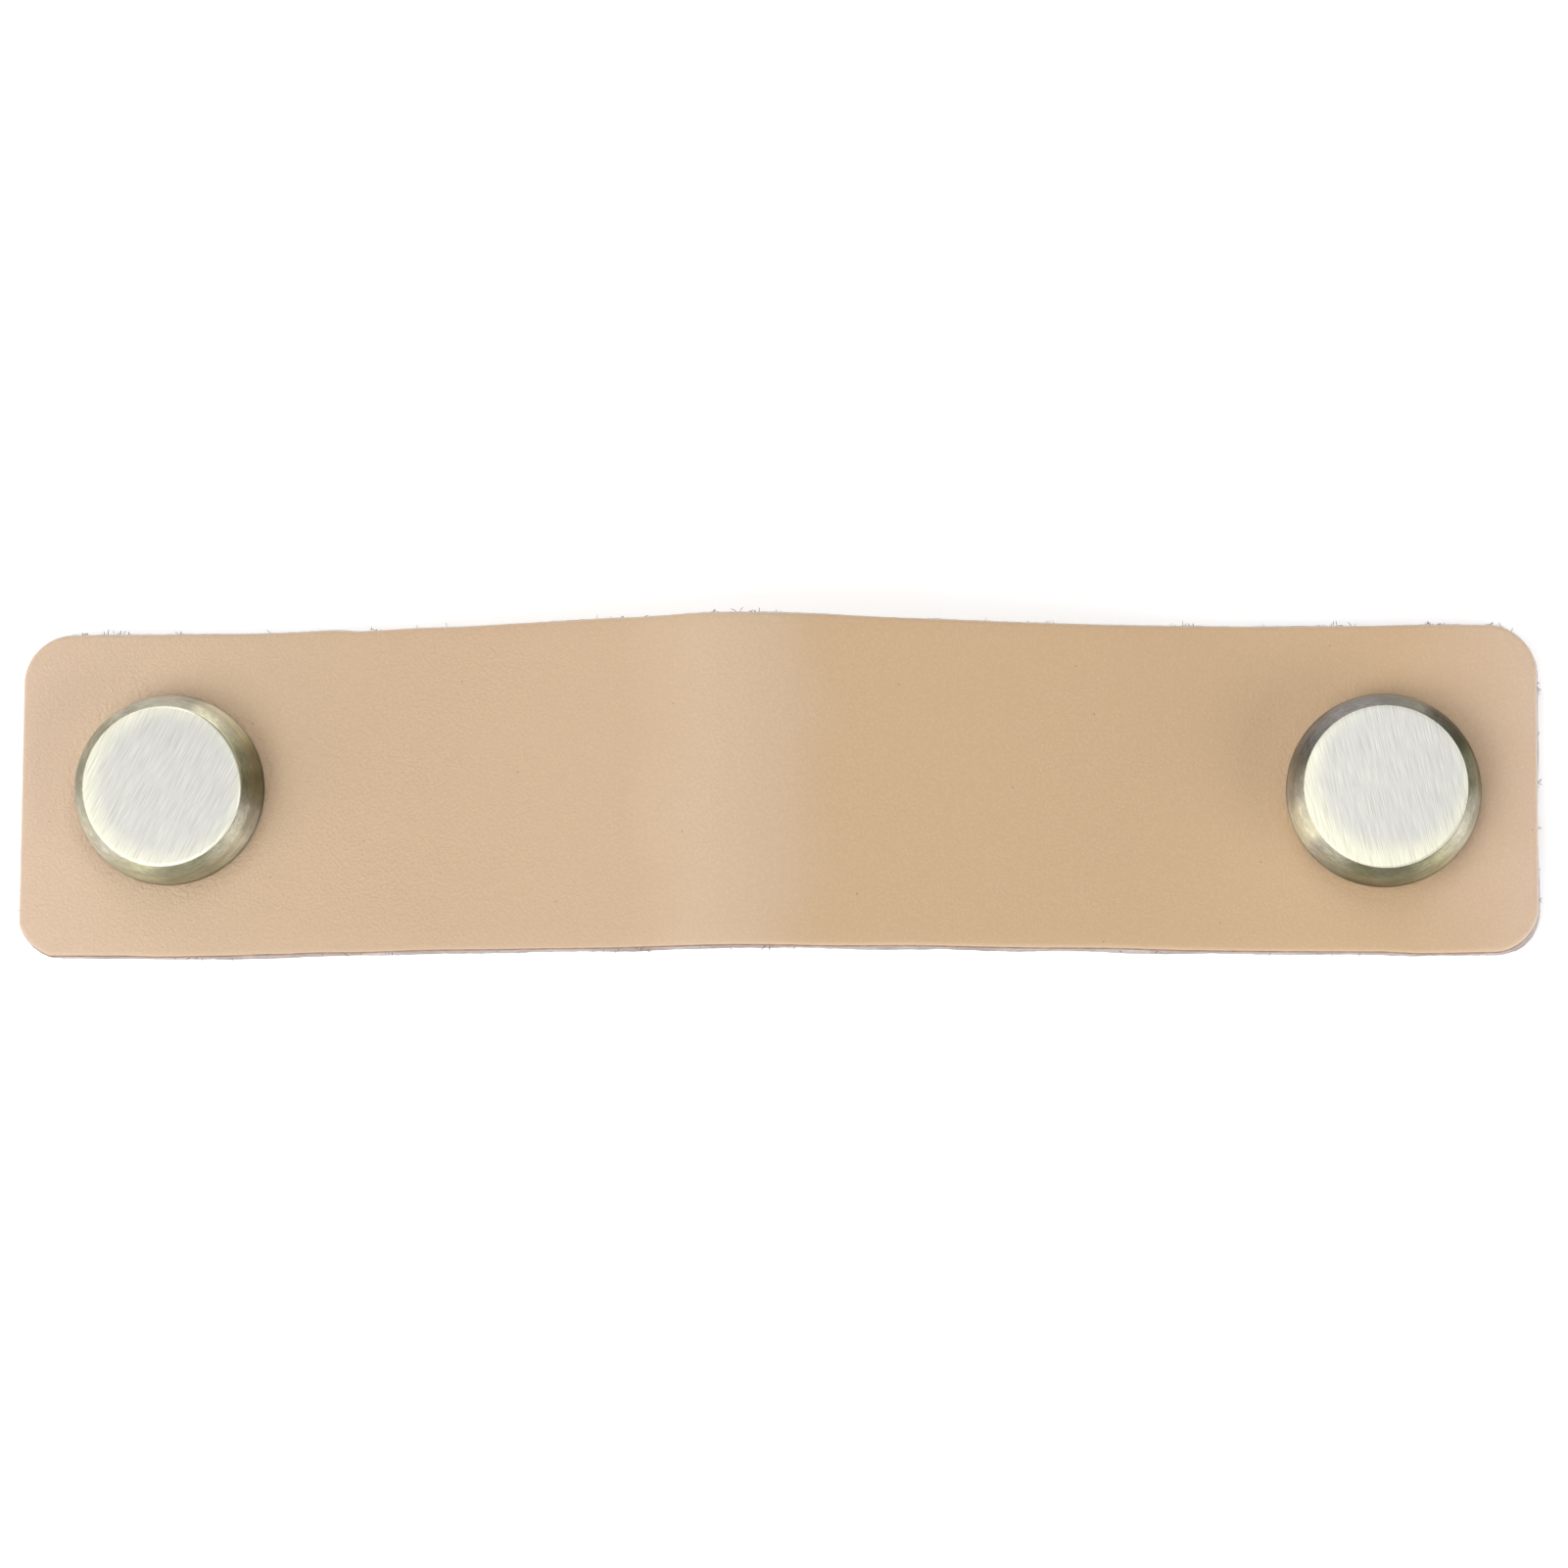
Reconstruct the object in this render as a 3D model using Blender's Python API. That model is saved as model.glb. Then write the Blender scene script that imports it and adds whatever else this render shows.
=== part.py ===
"""Faux leather strap pull for a drawer or a cabinet door.

A flat strap bows up between two round caps, which screws from behind the drawer front hold down.
Metres. +Z points out of the drawer front, X runs along the strap and Y across it. The origin is on the
front's face, midway between the two screws. Run it with blender --background --python part.py
"""

import math

import bmesh
import bpy
from mathutils import Vector

# Strap
SCREW_SPACING = 0.096  # centre to centre of the two fixing screws
STRAP_WIDTH = 0.0255
STRAP_THICKNESS = 0.0024
END_MARGIN = 0.012  # from a screw's centre to the cut end of the strap
CORNER_RADIUS = 0.0038  # of the four rounded corners, seen from above
SEAT_LENGTH = 0.007  # flat stretch from a screw's centre to where the bow starts

# Bow of the strap between its two flat seats
BOW_RISE = 0.0107  # of the crest over the seats
CREST_RADIUS = 0.0112  # inside the bend at the crest, on the back face
FOOT_RADIUS = 0.040  # inside the bend at each foot, on the front face

# Caps, each turned in one piece with a threaded boss that passes through the strap
CAP_DIAMETER = 0.0153
CAP_HEIGHT = 0.0030  # from the underside to the flat top
SHOULDER_WIDTH = 0.00125  # from the rim of the flat top out to the widest ring
SHOULDER_BULGE = 0.00025  # how far the shoulder swells past a straight cone
TOP_EDGE_RADIUS = 0.00012  # where the flat top breaks into the shoulder
FOOT_ROUND = 0.00018  # at the foot of the shoulder
BOSS_DIAMETER = 0.0060
BOSS_CHAMFER = 0.0003
BORE_DIAMETER = 0.0033  # tapping size of an M4 thread
BORE_CHAMFER = 0.0004
DRILL_POINT_DEG = 118.0
CROWN_WALL = 0.0008  # metal left between the tip of the bore and the flat top

# Fits
SEAT_GAP = 0.0003  # between the strap and the underside of a cap
BOSS_CLEARANCE = 0.0003  # around a boss in its hole
BOSS_RECESS = 0.0003  # from the end of a boss to the strap's back face

# Fineness of the meshes
FOOT_STEPS = 8
CREST_STEPS = 10
CORNER_STEPS = 6
HOLE_SIDES = 48
CAP_SIDES = 72
SHOULDER_STEPS = 8
ROUND_STEPS = 3
SMOOTH_DEG = 30.0

# Colours as seen, in sRGB
LEATHER_TAN = "#D6B99A"
BRUSHED_BRASS = "#C9C3A4"


def clear_scene():
    for old in list(bpy.data.objects):
        bpy.data.objects.remove(old, do_unlink=True)


def linear(hex_colour):
    """The linear RGBA of an sRGB hex colour."""
    channels = [int(hex_colour[i : i + 2], 16) / 255 for i in (1, 3, 5)]
    steps = [c / 12.92 if c <= 0.04045 else ((c + 0.055) / 1.055) ** 2.4 for c in channels]
    return (*steps, 1.0)


def make_material(name, hex_colour, roughness, metallic):
    material = bpy.data.materials.new(name)
    material.use_nodes = True
    shader = material.node_tree.nodes["Principled BSDF"]
    shader.inputs["Base Color"].default_value = linear(hex_colour)
    shader.inputs["Roughness"].default_value = roughness
    shader.inputs["Metallic"].default_value = metallic
    return material


def make_object(name, mesh, material, location=(0.0, 0.0, 0.0)):
    obj = bpy.data.objects.new(name, mesh)
    obj.location = location
    if material:
        mesh.materials.append(material)
    bpy.context.scene.collection.objects.link(obj)
    return obj


def mesh_from(bm, name):
    bmesh.ops.recalc_face_normals(bm, faces=bm.faces)
    mesh = bpy.data.meshes.new(name)
    bm.to_mesh(mesh)
    bm.free()
    mesh.shade_smooth()
    mesh.set_sharp_from_angle(angle=math.radians(SMOOTH_DEG))
    return mesh


def bow():
    """The bow's middle line on one side: foot radius, crest radius, ramp length and ramp angle."""
    run = SCREW_SPACING / 2 - SEAT_LENGTH
    crest = CREST_RADIUS + STRAP_THICKNESS / 2
    widest = (run**2 + BOW_RISE**2) / (2 * BOW_RISE)  # both bends together, with no ramp between them
    foot = min(FOOT_RADIUS + STRAP_THICKNESS / 2, widest - crest)
    bends = foot + crest
    ramp = math.sqrt(max(0.0, run**2 + BOW_RISE**2 - 2 * BOW_RISE * bends))
    angle = math.atan2(BOW_RISE - bends, run) - math.atan2(-bends, ramp)
    return foot, crest, ramp, angle


def half_stations():
    """Sections from the left end to the crest, each (x, z, slope, half width) on the strap's middle line."""
    foot, crest, ramp, angle = bow()
    half, end = STRAP_WIDTH / 2, -SCREW_SPACING / 2 - END_MARGIN
    bow_start = -SCREW_SPACING / 2 + SEAT_LENGTH
    corner = min(CORNER_RADIUS, 0.98 * half, 0.98 * (bow_start - end))
    middle = STRAP_THICKNESS / 2
    stations = []
    for step in range(CORNER_STEPS + 1):
        turn = math.pi / 2 * step / CORNER_STEPS
        inset = corner * (1 - math.cos(turn))
        stations.append((end + inset, middle, 0.0, half - corner + corner * math.sin(turn)))
    for step in range(FOOT_STEPS + 1):
        slope = angle * step / FOOT_STEPS
        rise = foot * (1 - math.cos(slope))
        stations.append((bow_start + foot * math.sin(slope), middle + rise, slope, half))
    for step in range(CREST_STEPS // 2 + 1):
        slope = angle * (1 - step / (CREST_STEPS // 2))
        drop = crest * (1 - math.cos(slope))
        stations.append((-crest * math.sin(slope), middle + BOW_RISE - drop, slope, half))
    return stations


def strap_stations():
    left = half_stations()
    right = [(-x, z, -slope, half) for x, z, slope, half in reversed(left[:-1])]
    return left + right


def section(bm, x, z, slope, half):
    """The four corners of the strap's section, square to its middle line."""
    out = Vector((-math.sin(slope), 0.0, math.cos(slope))) * STRAP_THICKNESS / 2
    centre, across = Vector((x, 0.0, z)), Vector((0.0, half, 0.0))
    corners = (centre - out - across, centre - out + across, centre + out + across, centre + out - across)
    return [bm.verts.new(corner) for corner in corners]


def make_cutter(name, x):
    """A guide as wide as a boss and its clearance, which cuts one hole in the strap."""
    bm = bmesh.new()
    radius = BOSS_DIAMETER / 2 + BOSS_CLEARANCE
    bmesh.ops.create_cone(
        bm, cap_ends=True, segments=HOLE_SIDES, radius1=radius, radius2=radius, depth=3 * STRAP_THICKNESS
    )
    cutter = make_object(name, mesh_from(bm, name), None, (x, 0.0, STRAP_THICKNESS / 2))
    cutter.display_type = "WIRE"
    cutter.hide_render = True
    return cutter


def make_strap(material):
    bm = bmesh.new()
    rings = [section(bm, *station) for station in strap_stations()]
    for ring, after in zip(rings, rings[1:]):
        for i in range(4):
            bm.faces.new((ring[i], ring[(i + 1) % 4], after[(i + 1) % 4], after[i]))
    bm.faces.new(rings[0])
    bm.faces.new(reversed(rings[-1]))
    strap = make_object("strap", mesh_from(bm, "strap"), material)
    for side, x in (("left", -SCREW_SPACING / 2), ("right", SCREW_SPACING / 2)):
        hole = strap.modifiers.new(f"hole_{side}", "BOOLEAN")
        hole.operation = "DIFFERENCE"
        hole.solver = "EXACT"
        hole.object = make_cutter(f"cutter_{side}", x)


def rounded(before, corner, after, radius):
    """An outline's corner rounded off: points of the arc that touches both of its sides."""
    to_before, to_after = (before - corner).normalized(), (after - corner).normalized()
    half_angle = to_before.angle(to_after) / 2
    reach = min(radius / math.tan(half_angle), 0.45 * min((before - corner).length, (after - corner).length))
    start, end = corner + to_before * reach, corner + to_after * reach
    middle = corner + (to_before + to_after).normalized() * reach / math.cos(half_angle)
    arm, sweep = start - middle, (start - middle).angle_signed(end - middle)
    points = []
    for step in range(ROUND_STEPS + 1):
        turn = -sweep * step / ROUND_STEPS
        cos, sin = math.cos(turn), math.sin(turn)
        points.append(middle + Vector((arm.x * cos - arm.y * sin, arm.x * sin + arm.y * cos)))
    return points


def shoulder():
    """The cap's flank from the rim of its flat top to its foot, as a cone with a slight swell."""
    top = Vector((CAP_DIAMETER / 2 - SHOULDER_WIDTH, CAP_HEIGHT))
    foot = Vector((CAP_DIAMETER / 2, 0.0))
    along = foot - top
    outward = Vector((-along.y, along.x)).normalized()
    points = []
    for step in range(SHOULDER_STEPS + 1):
        u = step / SHOULDER_STEPS
        points.append(top + along * u + outward * 4 * SHOULDER_BULGE * u * (1 - u))
    return points


def cap_profile():
    """Half of the cap's section as (radius, height over its underside), from the flat top to the bore."""
    flank = shoulder()
    bore = BORE_DIAMETER / 2
    boss = BOSS_DIAMETER / 2
    boss_end = BOSS_RECESS - STRAP_THICKNESS - SEAT_GAP
    tip = CAP_HEIGHT - CROWN_WALL
    bore_end = tip - bore / math.tan(math.radians(DRILL_POINT_DEG / 2))
    edge = rounded(Vector((0.0, CAP_HEIGHT)), flank[0], flank[1], TOP_EDGE_RADIUS)
    heel = rounded(flank[-2], flank[-1], Vector((boss, 0.0)), FOOT_ROUND)
    return [
        Vector((0.0, CAP_HEIGHT)),
        *edge,
        *flank[1:-1],
        *heel,
        Vector((boss, 0.0)),
        Vector((boss, boss_end + BOSS_CHAMFER)),
        Vector((boss - BOSS_CHAMFER, boss_end)),
        Vector((bore + BORE_CHAMFER, boss_end)),
        Vector((bore, boss_end + BORE_CHAMFER)),
        Vector((bore, bore_end)),
        Vector((0.0, tip)),
    ]


def make_cap(name, x, material):
    bm = bmesh.new()
    points = [bm.verts.new((p.x, 0.0, p.y)) for p in cap_profile()]
    edges = [bm.edges.new(pair) for pair in zip(points, points[1:])]
    bmesh.ops.spin(
        bm,
        geom=points + edges,
        cent=(0.0, 0.0, 0.0),
        axis=(0.0, 0.0, 1.0),
        angle=2 * math.pi,
        steps=CAP_SIDES,
        use_merge=True,
    )
    bmesh.ops.remove_doubles(bm, verts=bm.verts, dist=1e-7)
    make_object(name, mesh_from(bm, name), material, (x, 0.0, STRAP_THICKNESS + SEAT_GAP))


def main():
    clear_scene()
    leather = make_material("faux_leather", LEATHER_TAN, 0.6, 0.0)
    brass = make_material("brushed_brass", BRUSHED_BRASS, 0.35, 1.0)
    make_strap(leather)
    make_cap("cap_left", -SCREW_SPACING / 2, brass)
    make_cap("cap_right", SCREW_SPACING / 2, brass)


main()
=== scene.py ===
"""Faux leather strap pull, dressed over its CAD model.

A bowed strap of coated faux leather with raw cut edges, and a brushed antique brass cap over each end.
Everything is in metres, in the frame of the CAD: +X along the strap, +Y across it, +Z towards the user.
"""

import math

import bmesh
import bpy
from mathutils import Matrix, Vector, noise
from mathutils.geometry import delaunay_2d_cdt


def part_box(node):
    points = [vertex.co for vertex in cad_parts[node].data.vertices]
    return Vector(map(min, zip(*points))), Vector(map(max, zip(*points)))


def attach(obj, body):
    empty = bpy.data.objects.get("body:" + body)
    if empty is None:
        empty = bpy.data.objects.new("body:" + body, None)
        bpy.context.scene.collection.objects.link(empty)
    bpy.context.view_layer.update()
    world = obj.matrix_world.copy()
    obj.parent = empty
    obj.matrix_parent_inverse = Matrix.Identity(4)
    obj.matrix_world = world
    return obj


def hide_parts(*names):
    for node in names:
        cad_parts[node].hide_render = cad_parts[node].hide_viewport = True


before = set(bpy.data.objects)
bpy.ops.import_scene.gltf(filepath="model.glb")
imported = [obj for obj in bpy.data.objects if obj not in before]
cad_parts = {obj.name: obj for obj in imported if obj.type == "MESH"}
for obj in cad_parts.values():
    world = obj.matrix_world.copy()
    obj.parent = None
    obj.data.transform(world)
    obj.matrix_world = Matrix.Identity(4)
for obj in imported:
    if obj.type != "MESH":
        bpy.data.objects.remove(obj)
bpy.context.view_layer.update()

bl_info = {
    "name": "Strap Pull",
    "version": (1, 0, 0),
    "blender": (4, 5, 0),
    "location": "3D View > Sidebar > Strap Pull",
    "description": "Builds a bowed faux leather strap pull with two brushed brass caps",
    "category": "Add Mesh",
}

MM = 0.001
FULL_TURN = 6.283  # in radians
HALF_DRILL_POINT = math.radians(59)

# Fineness of the meshes
CUT_STEP = 0.32 * MM  # between points along the strap's cut edge
PATH_STEP = 0.5 * MM  # between points of the path on which the fibres stand
FRONT_SPACING = 0.75 * MM  # between the points inside the strap's front
BACK_SPACING = 1.5 * MM
DENT_STEP = 0.3 * MM  # between the rings of points round a cap
DENT_SIDES = 96  # points in one such ring
CORNER_STEPS = 16  # in each corner of the strap
HOLE_SIDES = 72
CAP_SIDES = 160
BEVEL_STEPS = 8  # down the bevel of a cap, then round to its wall, then down the wall
BEND_STEPS = 10
WALL_STEPS = 5
EASE_STEPS = 4  # in each rounded edge of a cap
THREAD_STEPS = 8  # rings in one pitch of the thread
STRAP_SHARP = math.radians(50)  # an edge that bends more than this is shaded sharp
CAP_SHARP = math.radians(24)

STRAP_LOW, STRAP_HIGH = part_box("strap")
LEFT_LOW, LEFT_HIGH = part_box("cap_left")
RIGHT_LOW, RIGHT_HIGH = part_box("cap_right")
LEFT_X = (LEFT_LOW.x + LEFT_HIGH.x) / 2
RIGHT_X = (RIGHT_LOW.x + RIGHT_HIGH.x) / 2
THICKNESS = 2.4 * MM  # as the strap's solid has it

# Zones of the strap, kept on its faces
FRONT, FILM, CORE, BACK = range(4)
# Zones of a cap
TOP, SHOULDER, TURNED = range(3)

# How far the cut wanders outwards from a straight line along each long edge, as (x, offset) in millimetres
UPPER_WANDER = (
    (-61.0, 0.03), (-52.0, 0.04), (-44.0, 0.06), (-40.0, 0.12), (-36.5, 0.2), (-34.0, 0.08), (-28.7, 0.12),
    (-24.0, 0.05), (-17.0, 0.07), (-11.6, 0.1), (-8.5, 0.06), (-3.0, 0.14), (4.0, 0.07), (13.0, -0.03),
    (21.0, -0.07), (27.0, -0.05), (36.0, 0.03), (48.0, 0.04), (53.0, 0.1), (61.0, 0.04),
)
LOWER_WANDER = (
    (-61.0, 0.14), (-53.5, 0.15), (-50.0, 0.25), (-46.0, 0.19), (-41.0, 0.07), (-37.0, -0.03),
    (-33.5, -0.01), (-28.0, -0.065), (-19.0, 0.03), (-10.5, 0.11), (-5.5, 0.08), (0.0, 0.05), (6.0, 0.08),
    (13.0, -0.045), (21.0, -0.01), (28.0, -0.08), (35.0, 0.02), (43.0, 0.07), (49.0, 0.11), (52.5, 0.25),
    (61.0, 0.14),
)
# Where loose fibres gather on the cut edge, as (x, y or side, spread) in millimetres
TUFTS = (
    (-55.5, 1, 0.7), (-53.6, 1, 0.5), (-52.4, 1, 0.8), (-47.6, 1, 0.3), (-31.5, 1, 0.4), (-11.4, 1, 0.4),
    (-10.2, 1, 0.4), (-2.4, 1, 0.3), (0.8, 1, 0.9), (14.0, 1, 0.3), (22.5, 1, 0.4), (33.0, 1, 0.6),
    (44.5, 1, 0.9), (52.5, 1, 0.9), (57.0, 1, 0.6), (-10.8, -1, 0.4), (-9.8, -1, 0.3), (-8.1, -1, 0.4),
    (-30.0, -1, 0.4), (-45.5, -1, 0.5), (-57.0, -1, 0.6), (2.0, -1, 0.3), (31.0, -1, 0.3), (58.2, -1, 0.6),
    (-60.0, -7.5, 0.3), (60.0, 0.5, 0.3), (60.0, 8.0, 0.3),
)
# The tufts are listed along the bowed strap, of this half length in millimetres, and the flat blank is
# longer by an amount that grows up to this distance from the crest
BOWED_HALF = 60.0
TUFT_STRETCH = 41.0
# Share of the places on the cut edge where a fibre stands: between the tufts, more within one, and at most
STRAY_SHARE = 0.014
TUFT_SHARE = 0.55
MOST_SHARE = 0.6

# Where the back was cut fuller than the front, in millimetres
FULL_CORNER = (60.6, -11.8)

# Patches of the finish round each cap's shoulder, as (clock direction and half width in degrees, painted
# highlight or, below nought, painted shade, share of olive patina or, below nought, of violet grey)
LEFT_PATCHES = (
    (42, 20, 0.8, 0.45), (75, 18, 0.05, 0.75), (90, 11, -0.3, 0.5), (135, 14, 0.3, 0.3),
    (180, 34, 0.22, 0.7), (262, 30, 0.08, 0.25), (308, 20, 0.42, 0.3), (345, 26, 0.3, 0.0),
)
RIGHT_PATCHES = (
    (330, 42, -0.26, -0.6), (48, 18, -0.5, 0.3), (73, 20, -0.05, 0.75), (122, 28, 0.0, 0.1),
    (168, 34, 0.05, 0.8), (207, 18, -0.02, 0.4), (246, 14, 0.42, 0.35), (283, 10, -0.1, 0.2),
)


def linear(hex_colour):
    """The linear RGB of an sRGB hex colour."""
    channels = [int(hex_colour[i : i + 2], 16) / 255 for i in (1, 3, 5)]
    return tuple(c / 12.92 if c <= 0.04045 else ((c + 0.055) / 1.055) ** 2.4 for c in channels)


def length(name, description, default):
    return bpy.props.FloatProperty(
        name=name, description=description, default=default, min=0.0, unit="LENGTH", precision=5
    )


def tilt(name, description, degrees):
    return bpy.props.FloatProperty(
        name=name, description=description, default=math.radians(degrees), subtype="ANGLE"
    )


def amount(name, description, default, **extra):
    return bpy.props.FloatProperty(name=name, description=description, default=default, **extra)


def colour(name, description, hex_colour):
    shade = linear(hex_colour)
    return bpy.props.FloatVectorProperty(
        name=name, description=description, default=shade, size=3, min=0.0, max=1.0, subtype="COLOR"
    )


class StrapSizes(bpy.types.PropertyGroup):
    width: length("Width", "Across the strap", STRAP_HIGH.y - STRAP_LOW.y)
    thickness: length("Thickness", "Coat, core and backing together", THICKNESS)
    screw_spacing: length("Screw spacing", "Between the centres of the two caps", RIGHT_X - LEFT_X)
    end_margin: length("End margin", "From a cap's centre to the cut end", LEFT_X - STRAP_LOW.x)
    corner_radius: length("Corner radius", "Of the four corners seen from the front", 3.8 * MM)
    seat_length: length("Seat length", "Flat stretch from a cap's centre to the bow", 7.0 * MM)
    bow_rise: length("Bow rise", "Of the crest over the flat ends", STRAP_HIGH.z - THICKNESS)
    crest_radius: length("Crest radius", "Inside the bend at the crest, on the back", 11.2 * MM)
    foot_radius: length("Foot radius", "Inside the bend at each foot, on the front", 40.0 * MM)
    crest_offset: amount(
        "Crest offset", "Of the crest to the right of the middle", -1.5 * MM, unit="LENGTH", precision=5
    )
    edge_roll: length("Edge roll", "Radius of the coat's rolled edge", 0.34 * MM)
    film: length("Film", "Thickness of the coat where it is cut", 0.13 * MM)
    burr: length("Burr", "How far the blade drew the cut coat outwards on the lower side", 0.09 * MM)
    flare: length("Flare", "How far the cut core stands proud of the coat at the back", 0.18 * MM)
    press_depth: length("Press depth", "How deep a cap sinks into the leather", 0.10 * MM)
    press_reach: length("Press reach", "How far the dent reaches past a cap", 1.5 * MM)
    hole_diameter: length("Hole diameter", "Punched for a cap's boss", 6.6 * MM)
    askew: amount(
        "Askew", "Lean of the cut line off the line through the holes", 0.0051, subtype="ANGLE", precision=4
    )


class LeatherColours(bpy.types.PropertyGroup):
    # Pale coat at both ends: painted sheen at the left end, painted light over the right cap's shadow at
    # the right end
    coat_end_painted_light: colour("End coat, painted light", "Coat at the two ends, where its colour has faded", "#D0B59B")
    # Painted highlight at the crest, and painted light over the left cap's shadow beside it
    coat_painted_highlight: colour("Coat, painted highlight", "Coat rubbed paler, at the crest and by the left cap", "#C8AD8F")
    coat: colour("Coat", "Tan coat of the front", "#C3A686")
    coat_warm: colour("Warm coat", "Coat of the right half", "#C7A884")
    # Painted shade inside the pinholes
    pinhole_shade: colour("Pore", "Pinholes in the coat", "#3B2A20")
    # Painted highlight along the coat's rolled edge
    rim: colour("Rim", "Coat stretched pale over the cut edge", "#DDD4D0")
    film: colour("Film", "Cut section of the coat", "#9A7A64")
    core: colour("Core", "Cut fibres of the core", "#C6BDB9")
    core_dark: colour("Dark core", "Shaded and brown fibres of the core", "#94877F")
    backing: colour("Backing", "Fleece of the back", "#C9BBA9")
    fibre: colour("Loose fibre", "Fibres that stand off the cut edge", "#574A43")


class FibreSizes(bpy.types.PropertyGroup):
    spacing: length("Spacing", "Between the places where a fibre may stand", 0.035 * MM)
    shortest: length("Shortest", "Shortest loose fibre", 0.12 * MM)
    longest: length("Longest", "Longest loose fibre", 0.42 * MM)
    thickness: length("Thickness", "Of one loose fibre", 0.06 * MM)
    seed: bpy.props.IntProperty(name="Seed", description="Picks another scatter", default=7, min=0)


class CapSizes(bpy.types.PropertyGroup):
    diameter: length("Diameter", "At the foot of the cap", LEFT_HIGH.x - LEFT_LOW.x)
    shoulder_width: length("Shoulder width", "From the rim of the flat top to the foot", 1.28 * MM)
    top: length("Top", "Height of the flat top over the drawer front", LEFT_HIGH.z)
    boss_diameter: length("Boss diameter", "Of the boss that passes through the strap", 6.0 * MM)
    boss_end: length("Boss end", "Height of the boss end over the drawer front", LEFT_LOW.z)
    bore_diameter: length("Bore diameter", "Crests of the internal thread", 3.3 * MM)
    thread_depth: length("Thread depth", "From crest to root", 0.35 * MM)
    pitch: length("Pitch", "Of the internal thread", 0.7 * MM)
    crown_wall: length("Crown wall", "Metal left over the tip of the bore", 0.8 * MM)
    bevel_width: length("Bevel width", "Of the bevel round the flat top, seen from the front", 0.62 * MM)
    bevel_start: tilt("Bevel start", "Slope of the bevel at the rim", 35)
    bevel_end: tilt("Bevel end", "Slope of the bevel where it turns into the wall", 48)
    wall_slope: tilt("Wall slope", "Slope of the wall under the shoulder", 79)
    left_brush: tilt("Left brushing", "Direction of the lines on the left cap", 63)
    right_brush: tilt("Right brushing", "Direction of the lines on the right cap", 103)


class BrassColours(bpy.types.PropertyGroup):
    polished: colour("Polished", "Flat top, brushed through to pale brass", "#D9D8D2")
    rim: colour("Rim", "Bare brass towards the rim of the top", "#F2F0DA")
    shoulder: colour("Shoulder", "Brushed shoulder", "#B6B0A2")
    patina: colour("Patina", "Dark finish left in the shoulder's scratches", "#77725C")
    olive: colour("Olive", "Olive patina in patches of the shoulder", "#A8A380")
    violet: colour("Violet", "Greyer, slightly violet patches of the shoulder", "#B3AEB2")
    turned: colour("Turned", "Boss, bore and underside", "#B5A26C")


class StudioSettings(bpy.types.PropertyGroup):
    floor: colour("Floor", "Plain floor", "#F6F6F6")
    glow: amount("Glow", "Light that the lit floor gives of its own", 0.3, min=0.0)
    surroundings: amount("Surroundings", "Light of the room around the set", 0.15, min=0.0)
    panels: amount("Panels", "Strength of all the light panels together", 1.0, min=0.0)
    camera_place: bpy.props.FloatVectorProperty(
        name="Camera place",
        description="Where the camera stands",
        default=(25.535 * MM, -35.275 * MM, 378.372 * MM),
        size=3,
        subtype="TRANSLATION",
        precision=5,
    )
    camera_turn: bpy.props.FloatVectorProperty(
        name="Camera turn",
        description="Turns about X, Y and Z, the last first",
        default=(0.09486, 0.06496, 0.00013),
        size=3,
        subtype="EULER",
        precision=5,
    )
    camera_lens: amount("Camera lens", "On a sensor 36 mm wide, in millimetres", 110.11, min=1.0)


def add(tree, kind, *values, **named):
    """A new node; values go to its inputs in order, and a node stands for its first output.

    A name in capitals, or i and a number, is an input's; a small one is a setting of the node.
    """
    node = tree.nodes.new(kind)
    links = list(enumerate(values))
    for name, value in named.items():
        if name[0] == "i" and name[1:].isdigit():
            links.append((int(name[1:]), value))
        elif name[0].isupper():
            links.append((name.replace("_", " "), value))
        else:
            setattr(node, name, value)
    for key, value in links:
        value = value.outputs[0] if isinstance(value, bpy.types.Node) else value
        if isinstance(value, bpy.types.NodeSocket):
            tree.links.new(value, node.inputs[key])
        else:
            node.inputs[key].default_value = value
    return node


def new_material(name):
    """An empty material and its node tree."""
    material = bpy.data.materials.new(name)
    material.use_nodes = True
    material.node_tree.nodes.clear()
    return material, material.node_tree


def finish_material(tree, shader):
    add(tree, "ShaderNodeOutputMaterial", Surface=shader)


def rgba(colour_value):
    return (*colour_value, 1.0)


# Materials


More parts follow.
